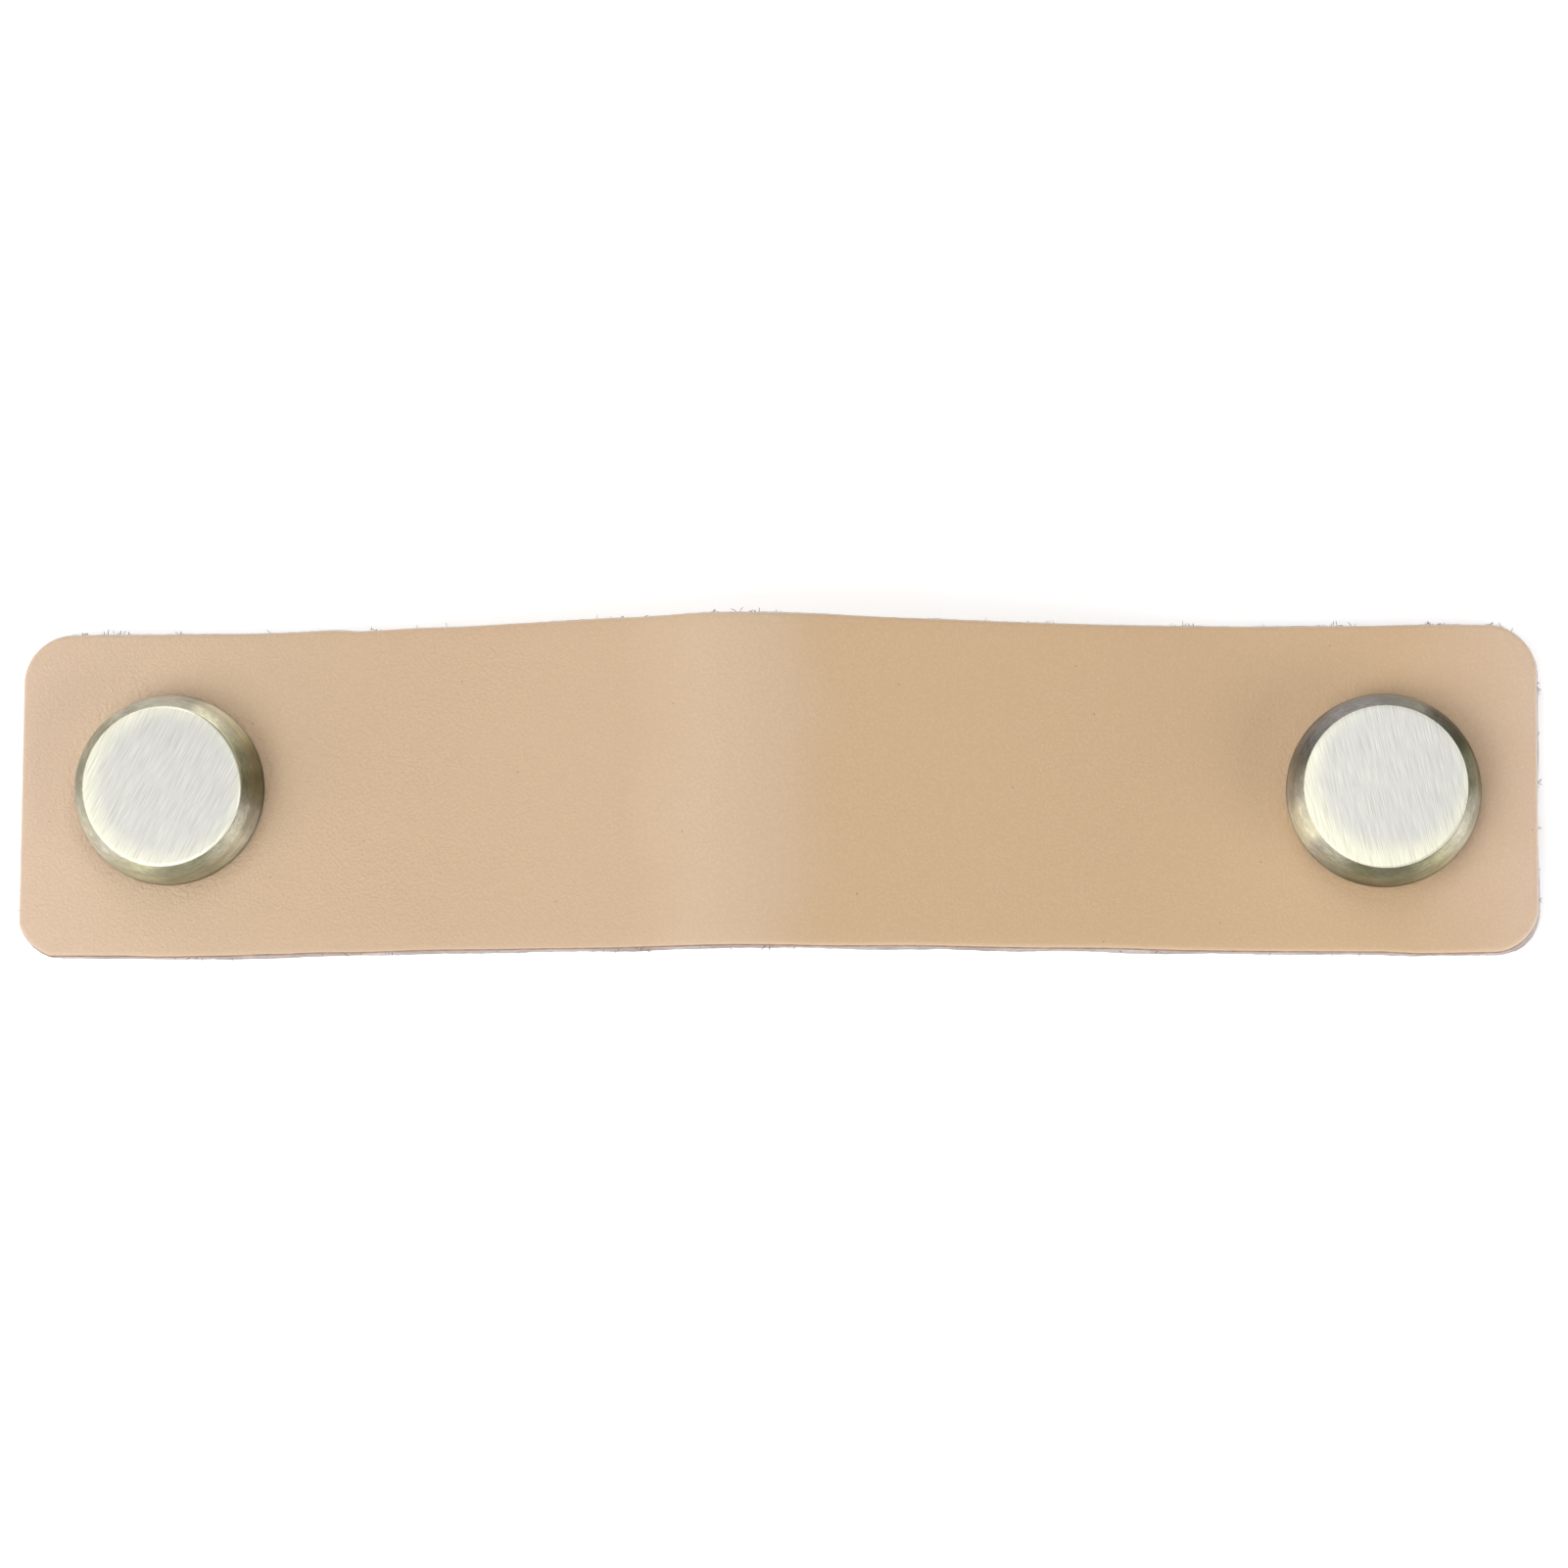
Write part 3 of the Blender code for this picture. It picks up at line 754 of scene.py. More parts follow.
def fibre_tree(material):
    """Short bent fibres on the cut edge, as often as the attribute shag says, bent along with the strap."""
    names = ("Spacing", "Shortest", "Longest", "Fibre Thickness", "Core Height", "Least Height")
    inputs = [(name, "NodeSocketFloat") for name in names] + [("Seed", "NodeSocketInt")]
    tree, given, bend = tree_with_bow("Loose fibres on the cut edge", inputs)
    seed = given["Seed"]

    def seed_plus(number):
        return add(tree, "ShaderNodeMath", seed, float(number), operation="ADD").outputs[0]

    path = add(tree, "GeometryNodeMeshToCurve", given["Geometry"])
    dense = add(tree, "GeometryNodeResampleCurve", Curve=path, mode="LENGTH", Length=given["Spacing"])
    shag = add(tree, "GeometryNodeInputNamedAttribute", Name="shag", data_type="FLOAT").outputs["Attribute"]
    outward = add(tree, "GeometryNodeInputNamedAttribute", Name="outward", data_type="FLOAT_VECTOR")
    chance = add(tree, "FunctionNodeRandomValue", Seed=seed, data_type="FLOAT")
    kept = add(
        tree, "FunctionNodeCompare", chance.outputs[1], shag, data_type="FLOAT", operation="LESS_THAN"
    )
    level = add(
        tree, "FunctionNodeRandomValue", i2=0.0, i3=given["Core Height"], Seed=seed_plus(1),
        data_type="FLOAT",
    )
    lift = add(tree, "ShaderNodeCombineXYZ", 0.0, 0.0, level.outputs[1])
    spots = add(tree, "GeometryNodeSetPosition", Geometry=dense, Offset=lift)
    hair_line = add(
        tree, "GeometryNodeCurvePrimitiveBezierSegment", Resolution=4, Start=(0.0, 0.0, -0.1),
        Start_Handle=(0.0, 0.05, 0.3), End_Handle=(0.1, 0.35, 0.6), End=(0.35, 0.75, 0.9),
    )
    # The hair is one unit long and is made as thin as the scaled one should be
    thin = add(tree, "ShaderNodeMath", given["Fibre Thickness"], given["Longest"], operation="DIVIDE")
    thin = add(tree, "ShaderNodeMath", thin, 0.5, operation="MULTIPLY")
    ring = add(tree, "GeometryNodeCurvePrimitiveCircle", Resolution=3, Radius=thin)
    hair = add(tree, "GeometryNodeCurveToMesh", Curve=hair_line, Profile_Curve=ring, Fill_Caps=True)
    lean = add(
        tree, "FunctionNodeRandomValue", (-1.5, -1.5, -0.5), (1.5, 1.5, 0.35), Seed=seed_plus(2),
        data_type="FLOAT_VECTOR",
    )
    way = add(tree, "ShaderNodeVectorMath", outward.outputs["Attribute"], lean, operation="ADD")
    spin = add(
        tree, "FunctionNodeRandomValue", (0.0, 0.0, 0.0), (0.0, 0.0, FULL_TURN), Seed=seed_plus(3),
        data_type="FLOAT_VECTOR",
    )
    turn = add(tree, "FunctionNodeAlignRotationToVector", Rotation=spin, Vector=way, axis="Z")
    size = add(
        tree, "FunctionNodeRandomValue", i2=given["Shortest"], i3=given["Longest"], Seed=seed_plus(4),
        data_type="FLOAT",
    )
    stood = add(
        tree, "GeometryNodeInstanceOnPoints", Points=spots, Selection=kept, Instance=hair, Rotation=turn,
        Scale=size.outputs[1],
    )
    real = add(tree, "GeometryNodeRealizeInstances", stood)
    # No fibre reaches under the back, where the drawer front is
    place = add(tree, "ShaderNodeSeparateXYZ", add(tree, "GeometryNodeInputPosition"))
    lifted = add(tree, "ShaderNodeMath", place.outputs[2], given["Least Height"], operation="MAXIMUM")
    kept_up = add(tree, "ShaderNodeCombineXYZ", place, place.outputs[1], lifted)
    clear = add(tree, "GeometryNodeSetPosition", Geometry=real, Position=kept_up)
    tree.links.new(clear.outputs[0], bend.inputs["Geometry"])
    dressed = add(tree, "GeometryNodeSetMaterial", Geometry=bend, Material=material)
    add(tree, "NodeGroupOutput", dressed)
    return tree


def grown(obj, tree, values):
    """Runs a geometry tree on an object with named values, and makes the result its plain mesh."""
    modifier = obj.modifiers.new(tree.name, "NODES")
    modifier.node_group = tree
    for item in tree.interface.items_tree:
        if item.in_out == "INPUT" and item.name in values:
            modifier[item.identifier] = values[item.name]
    obj.update_tag()
    depsgraph = bpy.context.evaluated_depsgraph_get()
    mesh = bpy.data.meshes.new_from_object(
        obj.evaluated_get(depsgraph), preserve_all_data_layers=True, depsgraph=depsgraph
    )
    if not mesh.polygons:
        raise RuntimeError(f"{tree.name} gave no faces")
    if mesh.materials[0] is None:
        numbers = [face.material_index - 1 for face in mesh.polygons]
        mesh.materials.pop(index=0)
        mesh.polygons.foreach_set("material_index", numbers)
    obj.modifiers.clear()
    old = obj.data
    obj.data = mesh
    bpy.data.meshes.remove(old)
    mesh.name = obj.name
    return mesh


def new_piece(name, mesh):
    obj = bpy.data.objects.new(name, mesh)
    bpy.context.scene.collection.objects.link(obj)
    return obj


# The strap's flat blank


def half_length(sizes):
    """Half the blank's flat length, and the place of a hole's centre along it."""
    foot, crest, ramp, angle, _ = bow(sizes)
    hole = (foot + crest) * angle + ramp + sizes.seat_length
    return hole + sizes.end_margin, hole


def smooth(u):
    """A share clipped to 0 and 1, which starts and ends gently."""
    u = min(1.0, max(0.0, u))
    return u * u * (3 - 2 * u)


def wander(table, x):
    """A table of (x, offset) in millimetres, read smoothly at x in metres."""
    at = x / MM
    for (x0, y0), (x1, y1) in zip(table, table[1:]):
        if at <= x1:
            return (y0 + (y1 - y0) * smooth((at - x0) / (x1 - x0))) * MM
    return table[-1][1] * MM


def outline(sizes, step):
    """The cut line seen from above, anticlockwise, as (point, outward direction) in order."""
    end, _ = half_length(sizes)
    half = sizes.width / 2
    # Each corner's side in X and Y, its radius and how far it is flattened to a chamfer
    corners = (
        (1, -1, sizes.corner_radius * 0.86, 0.12),
        (1, 1, sizes.corner_radius * 0.93, 0.15),
        (-1, 1, sizes.corner_radius * 1.0, 0.05),
        (-1, -1, sizes.corner_radius * 0.66, 0.45),
    )
    arcs = []
    for number, (side_x, side_y, radius, flat) in enumerate(corners):
        centre = Vector((side_x * (end - radius), side_y * (half - radius)))
        start_turn = math.radians(-90 + 90 * number)
        turns = [start_turn + math.pi / 2 * k / CORNER_STEPS for k in range(CORNER_STEPS + 1)]
        arc = [centre + radius * Vector((math.cos(turn), math.sin(turn))) for turn in turns]
        chord = [arc[0].lerp(arc[-1], k / CORNER_STEPS) for k in range(CORNER_STEPS + 1)]
        arcs.append([on_arc.lerp(on_chord, flat) for on_arc, on_chord in zip(arc, chord)])
    points = []
    for number, arc in enumerate(arcs):
        points.extend(arc)
        nxt = arcs[(number + 1) % 4][0]
        gap = nxt - arc[-1]
        count = max(1, round(gap.length / step))
        points.extend(arc[-1] + gap * (k / count) for k in range(1, count))
    wandered = []
    for p in points:
        share = min(1.0, abs(p.y) / half)
        offset = wander(UPPER_WANDER, p.x) if p.y > 0 else -wander(LOWER_WANDER, p.x)
        wandered.append(Vector((p.x, p.y + offset * share + sizes.askew * p.x)))
    out = []
    count = len(wandered)
    for k, p in enumerate(wandered):
        along = wandered[(k + 1) % count] - wandered[k - 1]
        out.append((p, Vector((along.y, -along.x)).normalized()))
    return out


def press(sizes, cap, point, hole):
    """How far a cap has pressed the leather down at a point of the blank."""
    radius = cap.diameter / 2
    inside = 0.3 * MM  # from the cap's edge inwards to where the leather is pressed fully
    depth = 0.0
    for side in (-1, 1):
        away = (point - Vector((side * hole, 0.0))).length
        u = min(1.0, max(0.0, (away - radius + inside) / (sizes.press_reach + inside)))
        depth = max(depth, sizes.press_depth * (1 - u) ** 2 * (1 + 2 * u))
    return depth


def fill_between(rim, holes, extra):
    """Triangles inside a rim and outside the holes, through the extra points."""
    points = list(rim)
    edges = [(k, (k + 1) % len(rim)) for k in range(len(rim))]
    for ring in holes:
        start = len(points)
        points.extend(ring)
        edges.extend((start + k, start + (k + 1) % len(ring)) for k in range(len(ring)))
    points.extend(extra)
    found, _, faces, _, _, _ = delaunay_2d_cdt(points, edges, [], 2, 1e-7)
    return found, faces


def ring_of(centre_x, radius, sides):
    turns = [2 * math.pi * k / sides for k in range(sides)]
    return [Vector((centre_x + radius * math.cos(turn), radius * math.sin(turn))) for turn in turns]


def field(sizes, cap, hole, spacing, ring_step):
    """Points that carry the strap's faces: a grid, and closer rings round the caps."""
    end, _ = half_length(sizes)
    half = sizes.width / 2
    # The points keep clear of the cut edge, the corners, the holes and the rings
    inset = 1.6 * sizes.edge_roll + 0.35 * spacing
    inner = cap.diameter / 2 - 0.8 * MM
    outer = cap.diameter / 2 + sizes.press_reach + 0.4 * MM
    rings = []
    if ring_step:
        count = max(2, round((outer - inner) / ring_step))
        for side in (-1, 1):
            for k in range(count + 1):
                rings.extend(ring_of(side * hole, inner + (outer - inner) * k / count, DENT_SIDES))
        rings = [p for p in rings if abs(p.y) < half - inset and abs(p.x) < end - inset]
    grid = []
    columns = round(2 * end / spacing)
    rows = round(2 * half / spacing)
    corner = sizes.corner_radius * 1.12
    for i in range(1, columns):
        x = -end + 2 * end * i / columns
        for j in range(1, rows):
            y = -half + 2 * half * j / rows
            if abs(x) > end - inset or abs(y) > half - inset:
                continue
            if abs(x) > end - corner and abs(y) > half - corner:
                far = math.hypot(abs(x) - end + corner, abs(y) - half + corner)
                if far > corner - inset - 0.3 * corner:
                    continue
            away = math.hypot(abs(x) - hole, y)
            if away < sizes.hole_diameter / 2 + 0.4 * spacing:
                continue
            if ring_step and inner - 0.3 * spacing < away < outer + 0.3 * spacing:
                continue
            grid.append(Vector((x, y)))
    return rings + grid


def rough_edge(point, height, sizes):
    """How far the torn core stands out at a point of the cut line and a height over the back."""
    deep = 1 - height / (sizes.thickness - sizes.edge_roll - sizes.film)
    at = Vector((point.x / MM, point.y / MM, height / MM))
    slow = noise.noise(Vector((at.x / 5.5, at.y / 5.5, 3.1)))
    layers = noise.noise(Vector((at.x / 0.9, at.y / 0.9, at.z / 0.28)))
    torn = noise.noise(Vector((at.x / 0.3, at.y / 0.3, at.z / 0.2)))
    flare = sizes.flare * (1 + 0.9 * slow) * deep**0.7
    corner = math.exp(-((at.x - FULL_CORNER[0]) ** 2 + (at.y - FULL_CORNER[1]) ** 2) / 3.0)
    return flare + 0.22 * MM * corner * deep + 0.045 * MM * layers * min(1.0, 4 * deep) + 0.02 * MM * torn


def strap_blank(sizes, cap):
    """The strap laid flat, with a zone number on each face."""
    _, hole = half_length(sizes)
    cut = outline(sizes, CUT_STEP)
    bm = bmesh.new()
    zone = bm.faces.layers.int.new("zone")
    rim = bm.verts.layers.float.new("rim")
    top = sizes.thickness
    roll = sizes.edge_roll

    def ring(inset, height, rough=False, pale=0.0):
        verts = []
        for p, out in cut:
            stand = rough_edge(p, height, sizes) if rough else 0.0
            # The blade came through on the lower side, where it drew a burr of the coat outwards
            drawn = inset if inset > 0.0 else inset * max(0.0, -out.y)
            q = p + out * (stand - drawn)
            v = bm.verts.new((q.x, q.y, height))
            # The rim value is a painted highlight on the rolled edge, weaker on the lower side
            v[rim] = pale * (1.0 - 0.75 * max(0.0, -out.y))
            verts.append(v)
        return verts

    def band(upper, lower, number):
        count = len(upper)
        for k in range(count):
            face = bm.faces.new((upper[k], lower[k], lower[(k + 1) % count], upper[(k + 1) % count]))
            face[zone] = number

    coat = []
    # The rolled edge's rings take a painted highlight that grows towards the cut
    for turn in (0, 18, 38, 58, 76):
        sin, cos = math.sin(math.radians(turn)), math.cos(math.radians(turn))
        coat.append(ring(roll * (1 - sin) + 0.01 * MM, top - roll * (1 - cos), pale=sin**4))
    for upper, lower in zip(coat, coat[1:]):
        band(upper, lower, FRONT)
    film_foot = top - roll - sizes.film
    films = [coat[-1], ring(-0.25 * sizes.burr, film_foot + 0.5 * sizes.film), ring(-sizes.burr, film_foot)]
    for upper, lower in zip(films, films[1:]):
        band(upper, lower, FILM)
    levels = [film_foot * (1 - u) for u in (0.04, 0.14, 0.26, 0.38, 0.5, 0.62, 0.74, 0.86, 0.95)]
    core = [films[-1]] + [ring(0.0, level, True) for level in levels]
    for upper, lower in zip(core, core[1:]):
        band(upper, lower, CORE)
    back_rim = ring(0.05 * MM, 0.0)
    band(core[-1], back_rim, CORE)

    hole_rings = [ring_of(side * hole, sizes.hole_diameter / 2, HOLE_SIDES) for side in (-1, 1)]
    for border, number in ((coat[0], FRONT), (back_rim, BACK)):
        edge = [v.co.xy for v in border]
        if number == FRONT:
            inside = field(sizes, cap, hole, FRONT_SPACING, DENT_STEP)
        else:
            inside = field(sizes, cap, hole, BACK_SPACING, 0.0)
        points, faces = fill_between(edge, hole_rings, inside)
        verts = []
        for p in points:
            height = top - press(sizes, cap, p, hole) if number == FRONT else 0.0
            verts.append(bm.verts.new((p.x, p.y, height)))
        for face in faces:
            made = bm.faces.new([verts[k] for k in face])
            made[zone] = number
    for side, circle in zip((-1, 1), hole_rings):
        rows = []
        for u in (0.0, 0.25, 0.5, 0.75, 1.0):
            row = []
            for p in circle:
                full = top - press(sizes, cap, p, hole)
                height = full * (1 - u)
                torn = 0.0
                if 0.0 < u < 1.0:
                    torn = 0.03 * MM * noise.noise(Vector((p.x, p.y, height)) / (0.5 * MM))
                centre = Vector((side * hole, 0.0))
                q = p + (p - centre).normalized() * torn
                row.append(bm.verts.new((q.x, q.y, height)))
            rows.append(row)
        for upper, lower in zip(rows, rows[1:]):
            band(upper, lower, CORE)
    bmesh.ops.remove_doubles(bm, verts=bm.verts, dist=0.004 * MM)
    bmesh.ops.recalc_face_normals(bm, faces=bm.faces)
    mesh = bpy.data.meshes.new("strap_blank")
    bm.to_mesh(mesh)
    bm.free()
    mesh.shade_smooth()
    return mesh


def cut_path(sizes):
    """The cut line as edges at the back's level; each point keeps its way out and its share of fibres."""
    cut = outline(sizes, PATH_STEP)
    mesh = bpy.data.meshes.new("cut_path")
    count = len(cut)
    points = [(p.x, p.y, 0.0) for p, _ in cut]
    mesh.from_pydata(points, [(k, (k + 1) % count) for k in range(count)], [])
    mesh.attributes.new("outward", "FLOAT_VECTOR", "POINT")
    mesh.attributes.new("shag", "FLOAT", "POINT")
    outward, shag = mesh.attributes["outward"], mesh.attributes["shag"]
    end, _ = half_length(sizes)
    spare = end / MM - BOWED_HALF
    half = sizes.width / 2 / MM
    for k, (p, out) in enumerate(cut):
        outward.data[k].vector = (out.x, out.y, 0.0)
        x, y = p.x / MM, p.y / MM
        share = STRAY_SHARE
        for tuft_x, tuft_y, spread in TUFTS:
            flat_x = tuft_x + math.copysign(spare, tuft_x) * min(1.0, abs(tuft_x) / TUFT_STRETCH)
            at_y = tuft_y * half if abs(tuft_y) == 1 else tuft_y
            far = math.hypot(x - flat_x, y - at_y)
            share += TUFT_SHARE * math.exp(-((far / spread) ** 2))
        shag.data[k].value = min(MOST_SHARE, share)
    return mesh


# The caps


def shoulder_points(cap, foot_height):
    """The cap's flank from the rim of its flat top to its foot: a bevel, a turn and a steep wall."""
    rim = cap.diameter / 2 - cap.shoulder_width
    points = [(rim, cap.top)]
    for k in range(BEVEL_STEPS):
        slope = cap.bevel_start + (cap.bevel_end - cap.bevel_start) * (k + 0.5) / BEVEL_STEPS
        reach = cap.bevel_width / BEVEL_STEPS
        points.append((points[-1][0] + reach, points[-1][1] - reach * math.tan(slope)))
    start, end = cap.bevel_end, cap.wall_slope
    across = cap.diameter / 2 - points[-1][0]
    fall = points[-1][1] - foot_height
    a, b = math.sin(end) - math.sin(start), math.cos(end)
    c, d = math.cos(start) - math.cos(end), math.sin(end)
    determinant = a * d - b * c
    radius = (across * d - b * fall) / determinant
    wall = (a * fall - c * across) / determinant
    if radius <= 0.0 or wall <= 0.0:
        raise RuntimeError("the cap's shoulder doesn't fit between its rim and its foot")
    r, z = points[-1]
    for k in range(1, BEND_STEPS + 1):
        turn = start + (end - start) * k / BEND_STEPS
        sunk = radius * (math.cos(start) - math.cos(turn))
        points.append((r + radius * (math.sin(turn) - math.sin(start)), z - sunk))
    last = points[-1]
    for k in range(1, WALL_STEPS + 1):
        reach = wall * k / WALL_STEPS
        points.append((last[0] + reach * math.cos(end), last[1] - reach * math.sin(end)))
    return points


def eased(before, corner, after, radius):
    """A corner of the profile rounded off, as points from one side to the other."""
    p, q, r = Vector(before), Vector(corner), Vector(after)
    to_p, to_r = (p - q).normalized(), (r - q).normalized()
    half_angle = to_p.angle(to_r) / 2
    reach = min(radius / math.tan(half_angle), 0.45 * min((p - q).length, (r - q).length))
    start, end = q + to_p * reach, q + to_r * reach
    shares = [k / EASE_STEPS for k in range(EASE_STEPS + 1)]
    return [tuple(start.lerp(q, u).lerp(q.lerp(end, u), u)) for u in shares]


def cap_profile(cap, foot_height):
    """The cap's turned section as (radius, height, zone of the face that follows)."""
    flank = shoulder_points(cap, foot_height)
    rim = flank[0][0]
    crown = 0.03 * MM
    top = []
    for share in (0.0, 0.15, 0.3, 0.45, 0.6, 0.72, 0.82, 0.9, 0.95):
        top.append((rim * share, cap.top - crown * share**3))
    corner = (rim, cap.top - crown)
    edge = eased(top[-1], corner, flank[1], 0.06 * MM)
    boss, bore = cap.boss_diameter / 2, cap.bore_diameter / 2
    heel = eased(flank[-2], flank[-1], (boss, foot_height), 0.12 * MM)
    underside = [(boss + 0.35 * MM, foot_height + 0.02 * MM), (boss, foot_height + 0.02 * MM)]
    chamfer = 0.3 * MM
    end = [
        (boss, foot_height / 2),
        (boss, cap.boss_end + chamfer),
        (boss - chamfer, cap.boss_end),
        (bore + cap.thread_depth + 0.05 * MM, cap.boss_end),
    ]
    profile = [(*p, TOP) for p in top]
    profile += [(*p, SHOULDER) for p in edge]
    profile += [(*p, SHOULDER) for p in flank[1:-1]]
    profile += [(*p, SHOULDER) for p in heel[:-1]]
    profile += [(*heel[-1], TURNED)]
    profile += [(*p, TURNED) for p in underside + end]
    return profile


def cap_foot(sizes):
    """Height of a cap's foot over the drawer front, just clear of the pressed leather."""
    return sizes.thickness - sizes.press_depth + 0.01 * MM


def finish_at(patches, turn):
    """The painted highlight or shade, and the share of olive patina, at an angle round a cap."""
    clock = (90 - math.degrees(turn)) % 360
    painted_light = olive = 0.0
    for middle, half_width, lift, hue in patches:
        away = abs((clock - middle + 180) % 360 - 180) / half_width
        # A patch fades out between 0.65 and 1.35 of its half width
        u = smooth((1.35 - away) / 0.7)
        painted_light += lift * u
        olive += hue * u
    return painted_light, max(-1.0, min(1.0, olive))


def turned_cap(name, centre_x, brush, patches, sizes, cap, materials):
    """One cap as a closed turned mesh with a cut thread in its bore."""
    foot_height = cap_foot(sizes)
    profile = cap_profile(cap, foot_height)
    sides = CAP_SIDES
    bm = bmesh.new()
    turned = bm.verts.layers.float_vector.new("turned")
    spread = bm.verts.layers.float_vector.new("spread")
    finish = bm.verts.layers.float_vector.new("finish")
    across = Vector((-math.sin(brush), math.cos(brush), 0.0))

    def vertex(radius, height, turn, travelled, zone, slope):
        out = Vector((math.cos(turn), math.sin(turn), 0.0))
        v = bm.verts.new((centre_x + out.x * radius, out.y * radius, height))
        v[turned] = Vector((out.x, out.y, travelled / MM))
        # The finish attribute holds the painted highlight or shade and the patina share
        painted_light, olive = finish_at(patches, turn)
        v[finish] = Vector((painted_light, olive, 0.0))
        v[spread] = across if zone == TOP else out * slope[0] + Vector((0.0, 0.0, slope[1]))
        return v

    travelled = 0.0
    rows = []
    for k, (radius, height, zone) in enumerate(profile):
        if k:
            travelled += math.hypot(radius - profile[k - 1][0], height - profile[k - 1][1])
        before, after = profile[max(0, k - 1)], profile[min(len(profile) - 1, k + 1)]
        slope = Vector((after[0] - before[0], after[1] - before[1])).normalized()
        if radius == 0.0:
            rows.append([vertex(0.0, height, 0.0, travelled, zone, slope)])
            continue
        turns = [2 * math.pi * s / sides for s in range(sides)]
        rows.append([vertex(radius, height, turn, travelled, zone, slope) for turn in turns])
    zones = [p[2] for p in profile]
    # The thread: its root winds up one pitch in each turn, and runs out at the tip of the drill
    bore = cap.bore_diameter / 2
    tip = cap.top - cap.crown_wall
    thread_top = tip - bore / math.tan(HALF_DRILL_POINT)
    lead = 0.1 * MM
    count = round((thread_top - cap.boss_end - lead) / cap.pitch * THREAD_STEPS)
    for k in range(count + 1):
        height = cap.boss_end + lead + (thread_top - cap.boss_end - lead) * k / count
        travelled += cap.pitch / THREAD_STEPS
        row = []
        lead_in = max(0.0, 1 - k / 4)
        run_out = min(1.0, (count - k) / 6)
        for s in range(sides):
            turn = 2 * math.pi * s / sides
            phase = (height / cap.pitch - s / sides) % 1.0
            groove = 1 - abs(2 * phase - 1)
            depth = cap.thread_depth * min(1.0, 1.25 * groove) * run_out
            radius = bore + max(depth, cap.thread_depth * lead_in)
            row.append(vertex(radius, height, turn, travelled, TURNED, Vector((0.0, 1.0))))
        rows.append(row)
        zones.append(TURNED)
    rows.append([vertex(0.0, tip, 0.0, travelled + bore, TURNED, Vector((1.0, 0.0)))])
    zones.append(TURNED)
    for k, (row, after) in enumerate(zip(rows, rows[1:])):
        for s in range(sides):
            t = (s + 1) % sides
            if len(row) == 1:
                face = bm.faces.new((row[0], after[s], after[t]))
            elif len(after) == 1:
                face = bm.faces.new((row[s], after[0], row[t]))
            else:
                face = bm.faces.new((row[s], after[s], after[t], row[t]))
            face.material_index = zones[k]
    bmesh.ops.recalc_face_normals(bm, faces=bm.faces)
    mesh = bpy.data.meshes.new(name)
    bm.to_mesh(mesh)
    bm.free()
    for material in materials:
        mesh.materials.append(material)
    mesh.shade_smooth()
    mesh.set_sharp_from_angle(angle=CAP_SHARP)
    return new_piece(name, mesh)


# The stage

# Light panels round the set, each as (name, direction and width in degrees round the set, lowest and
# highest angle over the floor in degrees, radiance). The low bright ones draw the shoulders' gleams.
PANELS = (
    ("low_front_right", 307.5, 15, 2, 30, 2.15),
    ("low_right_near", 322.5, 15, 2, 30, 4.15),
    ("low_right", 337.5, 15, 2, 30, 5.1),
    ("low_right_far", 352.5, 15, 2, 30, 2.6),
    ("low_front", 283.5, 33, 2, 30, 0.5),
    ("low_left", 202.5, 30, 2, 30, 2.55),
    ("low_far", 120.0, 30, 2, 30, 0.85),
    ("low_far_right", 75.0, 60, 2, 30, 0.3),
    ("high_left_near", 225.0, 45, 31, 58, 3.95),
    ("high_left", 180.0, 45, 31, 58, 2.2),
    ("high_far", 90.0, 45, 31, 58, 2.4),
)
PANEL_DISTANCE = 0.65
# Sheets of the softbox overhead, each as (name, x and y of its middle, radiance). The camera stands
# under the fourth quarter, which has none.
OVERHEAD = (
    ("overhead_near_left", -0.2, -0.2, 2.05),
    ("overhead_far_left", -0.2, 0.2, 1.5),
    ("overhead_far_right", 0.2, 0.2, 0.97),
)
OVERHEAD_HEIGHT = 0.8
OVERHEAD_SIDE = 0.4
FLOOR_REACH = 3.0  # from the middle to each side of the floor


def light_panel(name, place, aim, width, tall, radiance):
    """A soft light panel of a given radiance, which no camera sees."""
    data = bpy.data.lights.new(name, "AREA")
    data.shape = "RECTANGLE"
    data.size = width
    data.size_y = tall
    data.energy = radiance * math.pi * width * tall
    obj = bpy.data.objects.new(name, data)
    obj.location = place
    obj.rotation_euler = (Vector(aim) - Vector(place)).to_track_quat("-Z", "Y").to_euler()
    obj.visible_camera = False
    bpy.context.scene.collection.objects.link(obj)


class STRAPPULL_OT_strap(bpy.types.Operator):
    """Builds the strap on its bow, with its coat, cut edge and backing"""

    bl_idname = "strap_pull.strap"
    bl_label = "Strap"

    def execute(self, context):
        scene = context.scene
        sizes, cap, colours = scene.strap_sizes, scene.cap_sizes, scene.leather_colours
        strap = new_piece("strap_leather", strap_blank(sizes, cap))
        materials = [
            coated_faux_leather(colours, sizes, cap),
            cut_coat(colours),
            cut_fibre_core(colours),
            fleece_backing(colours),
        ]
        for material in materials:
            strap.data.materials.append(material)
        mesh = grown(strap, strap_tree(materials), bow_values(sizes))
        mesh.set_sharp_from_angle(angle=STRAP_SHARP)
        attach(strap, "root")
        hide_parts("strap")
        return {"FINISHED"}


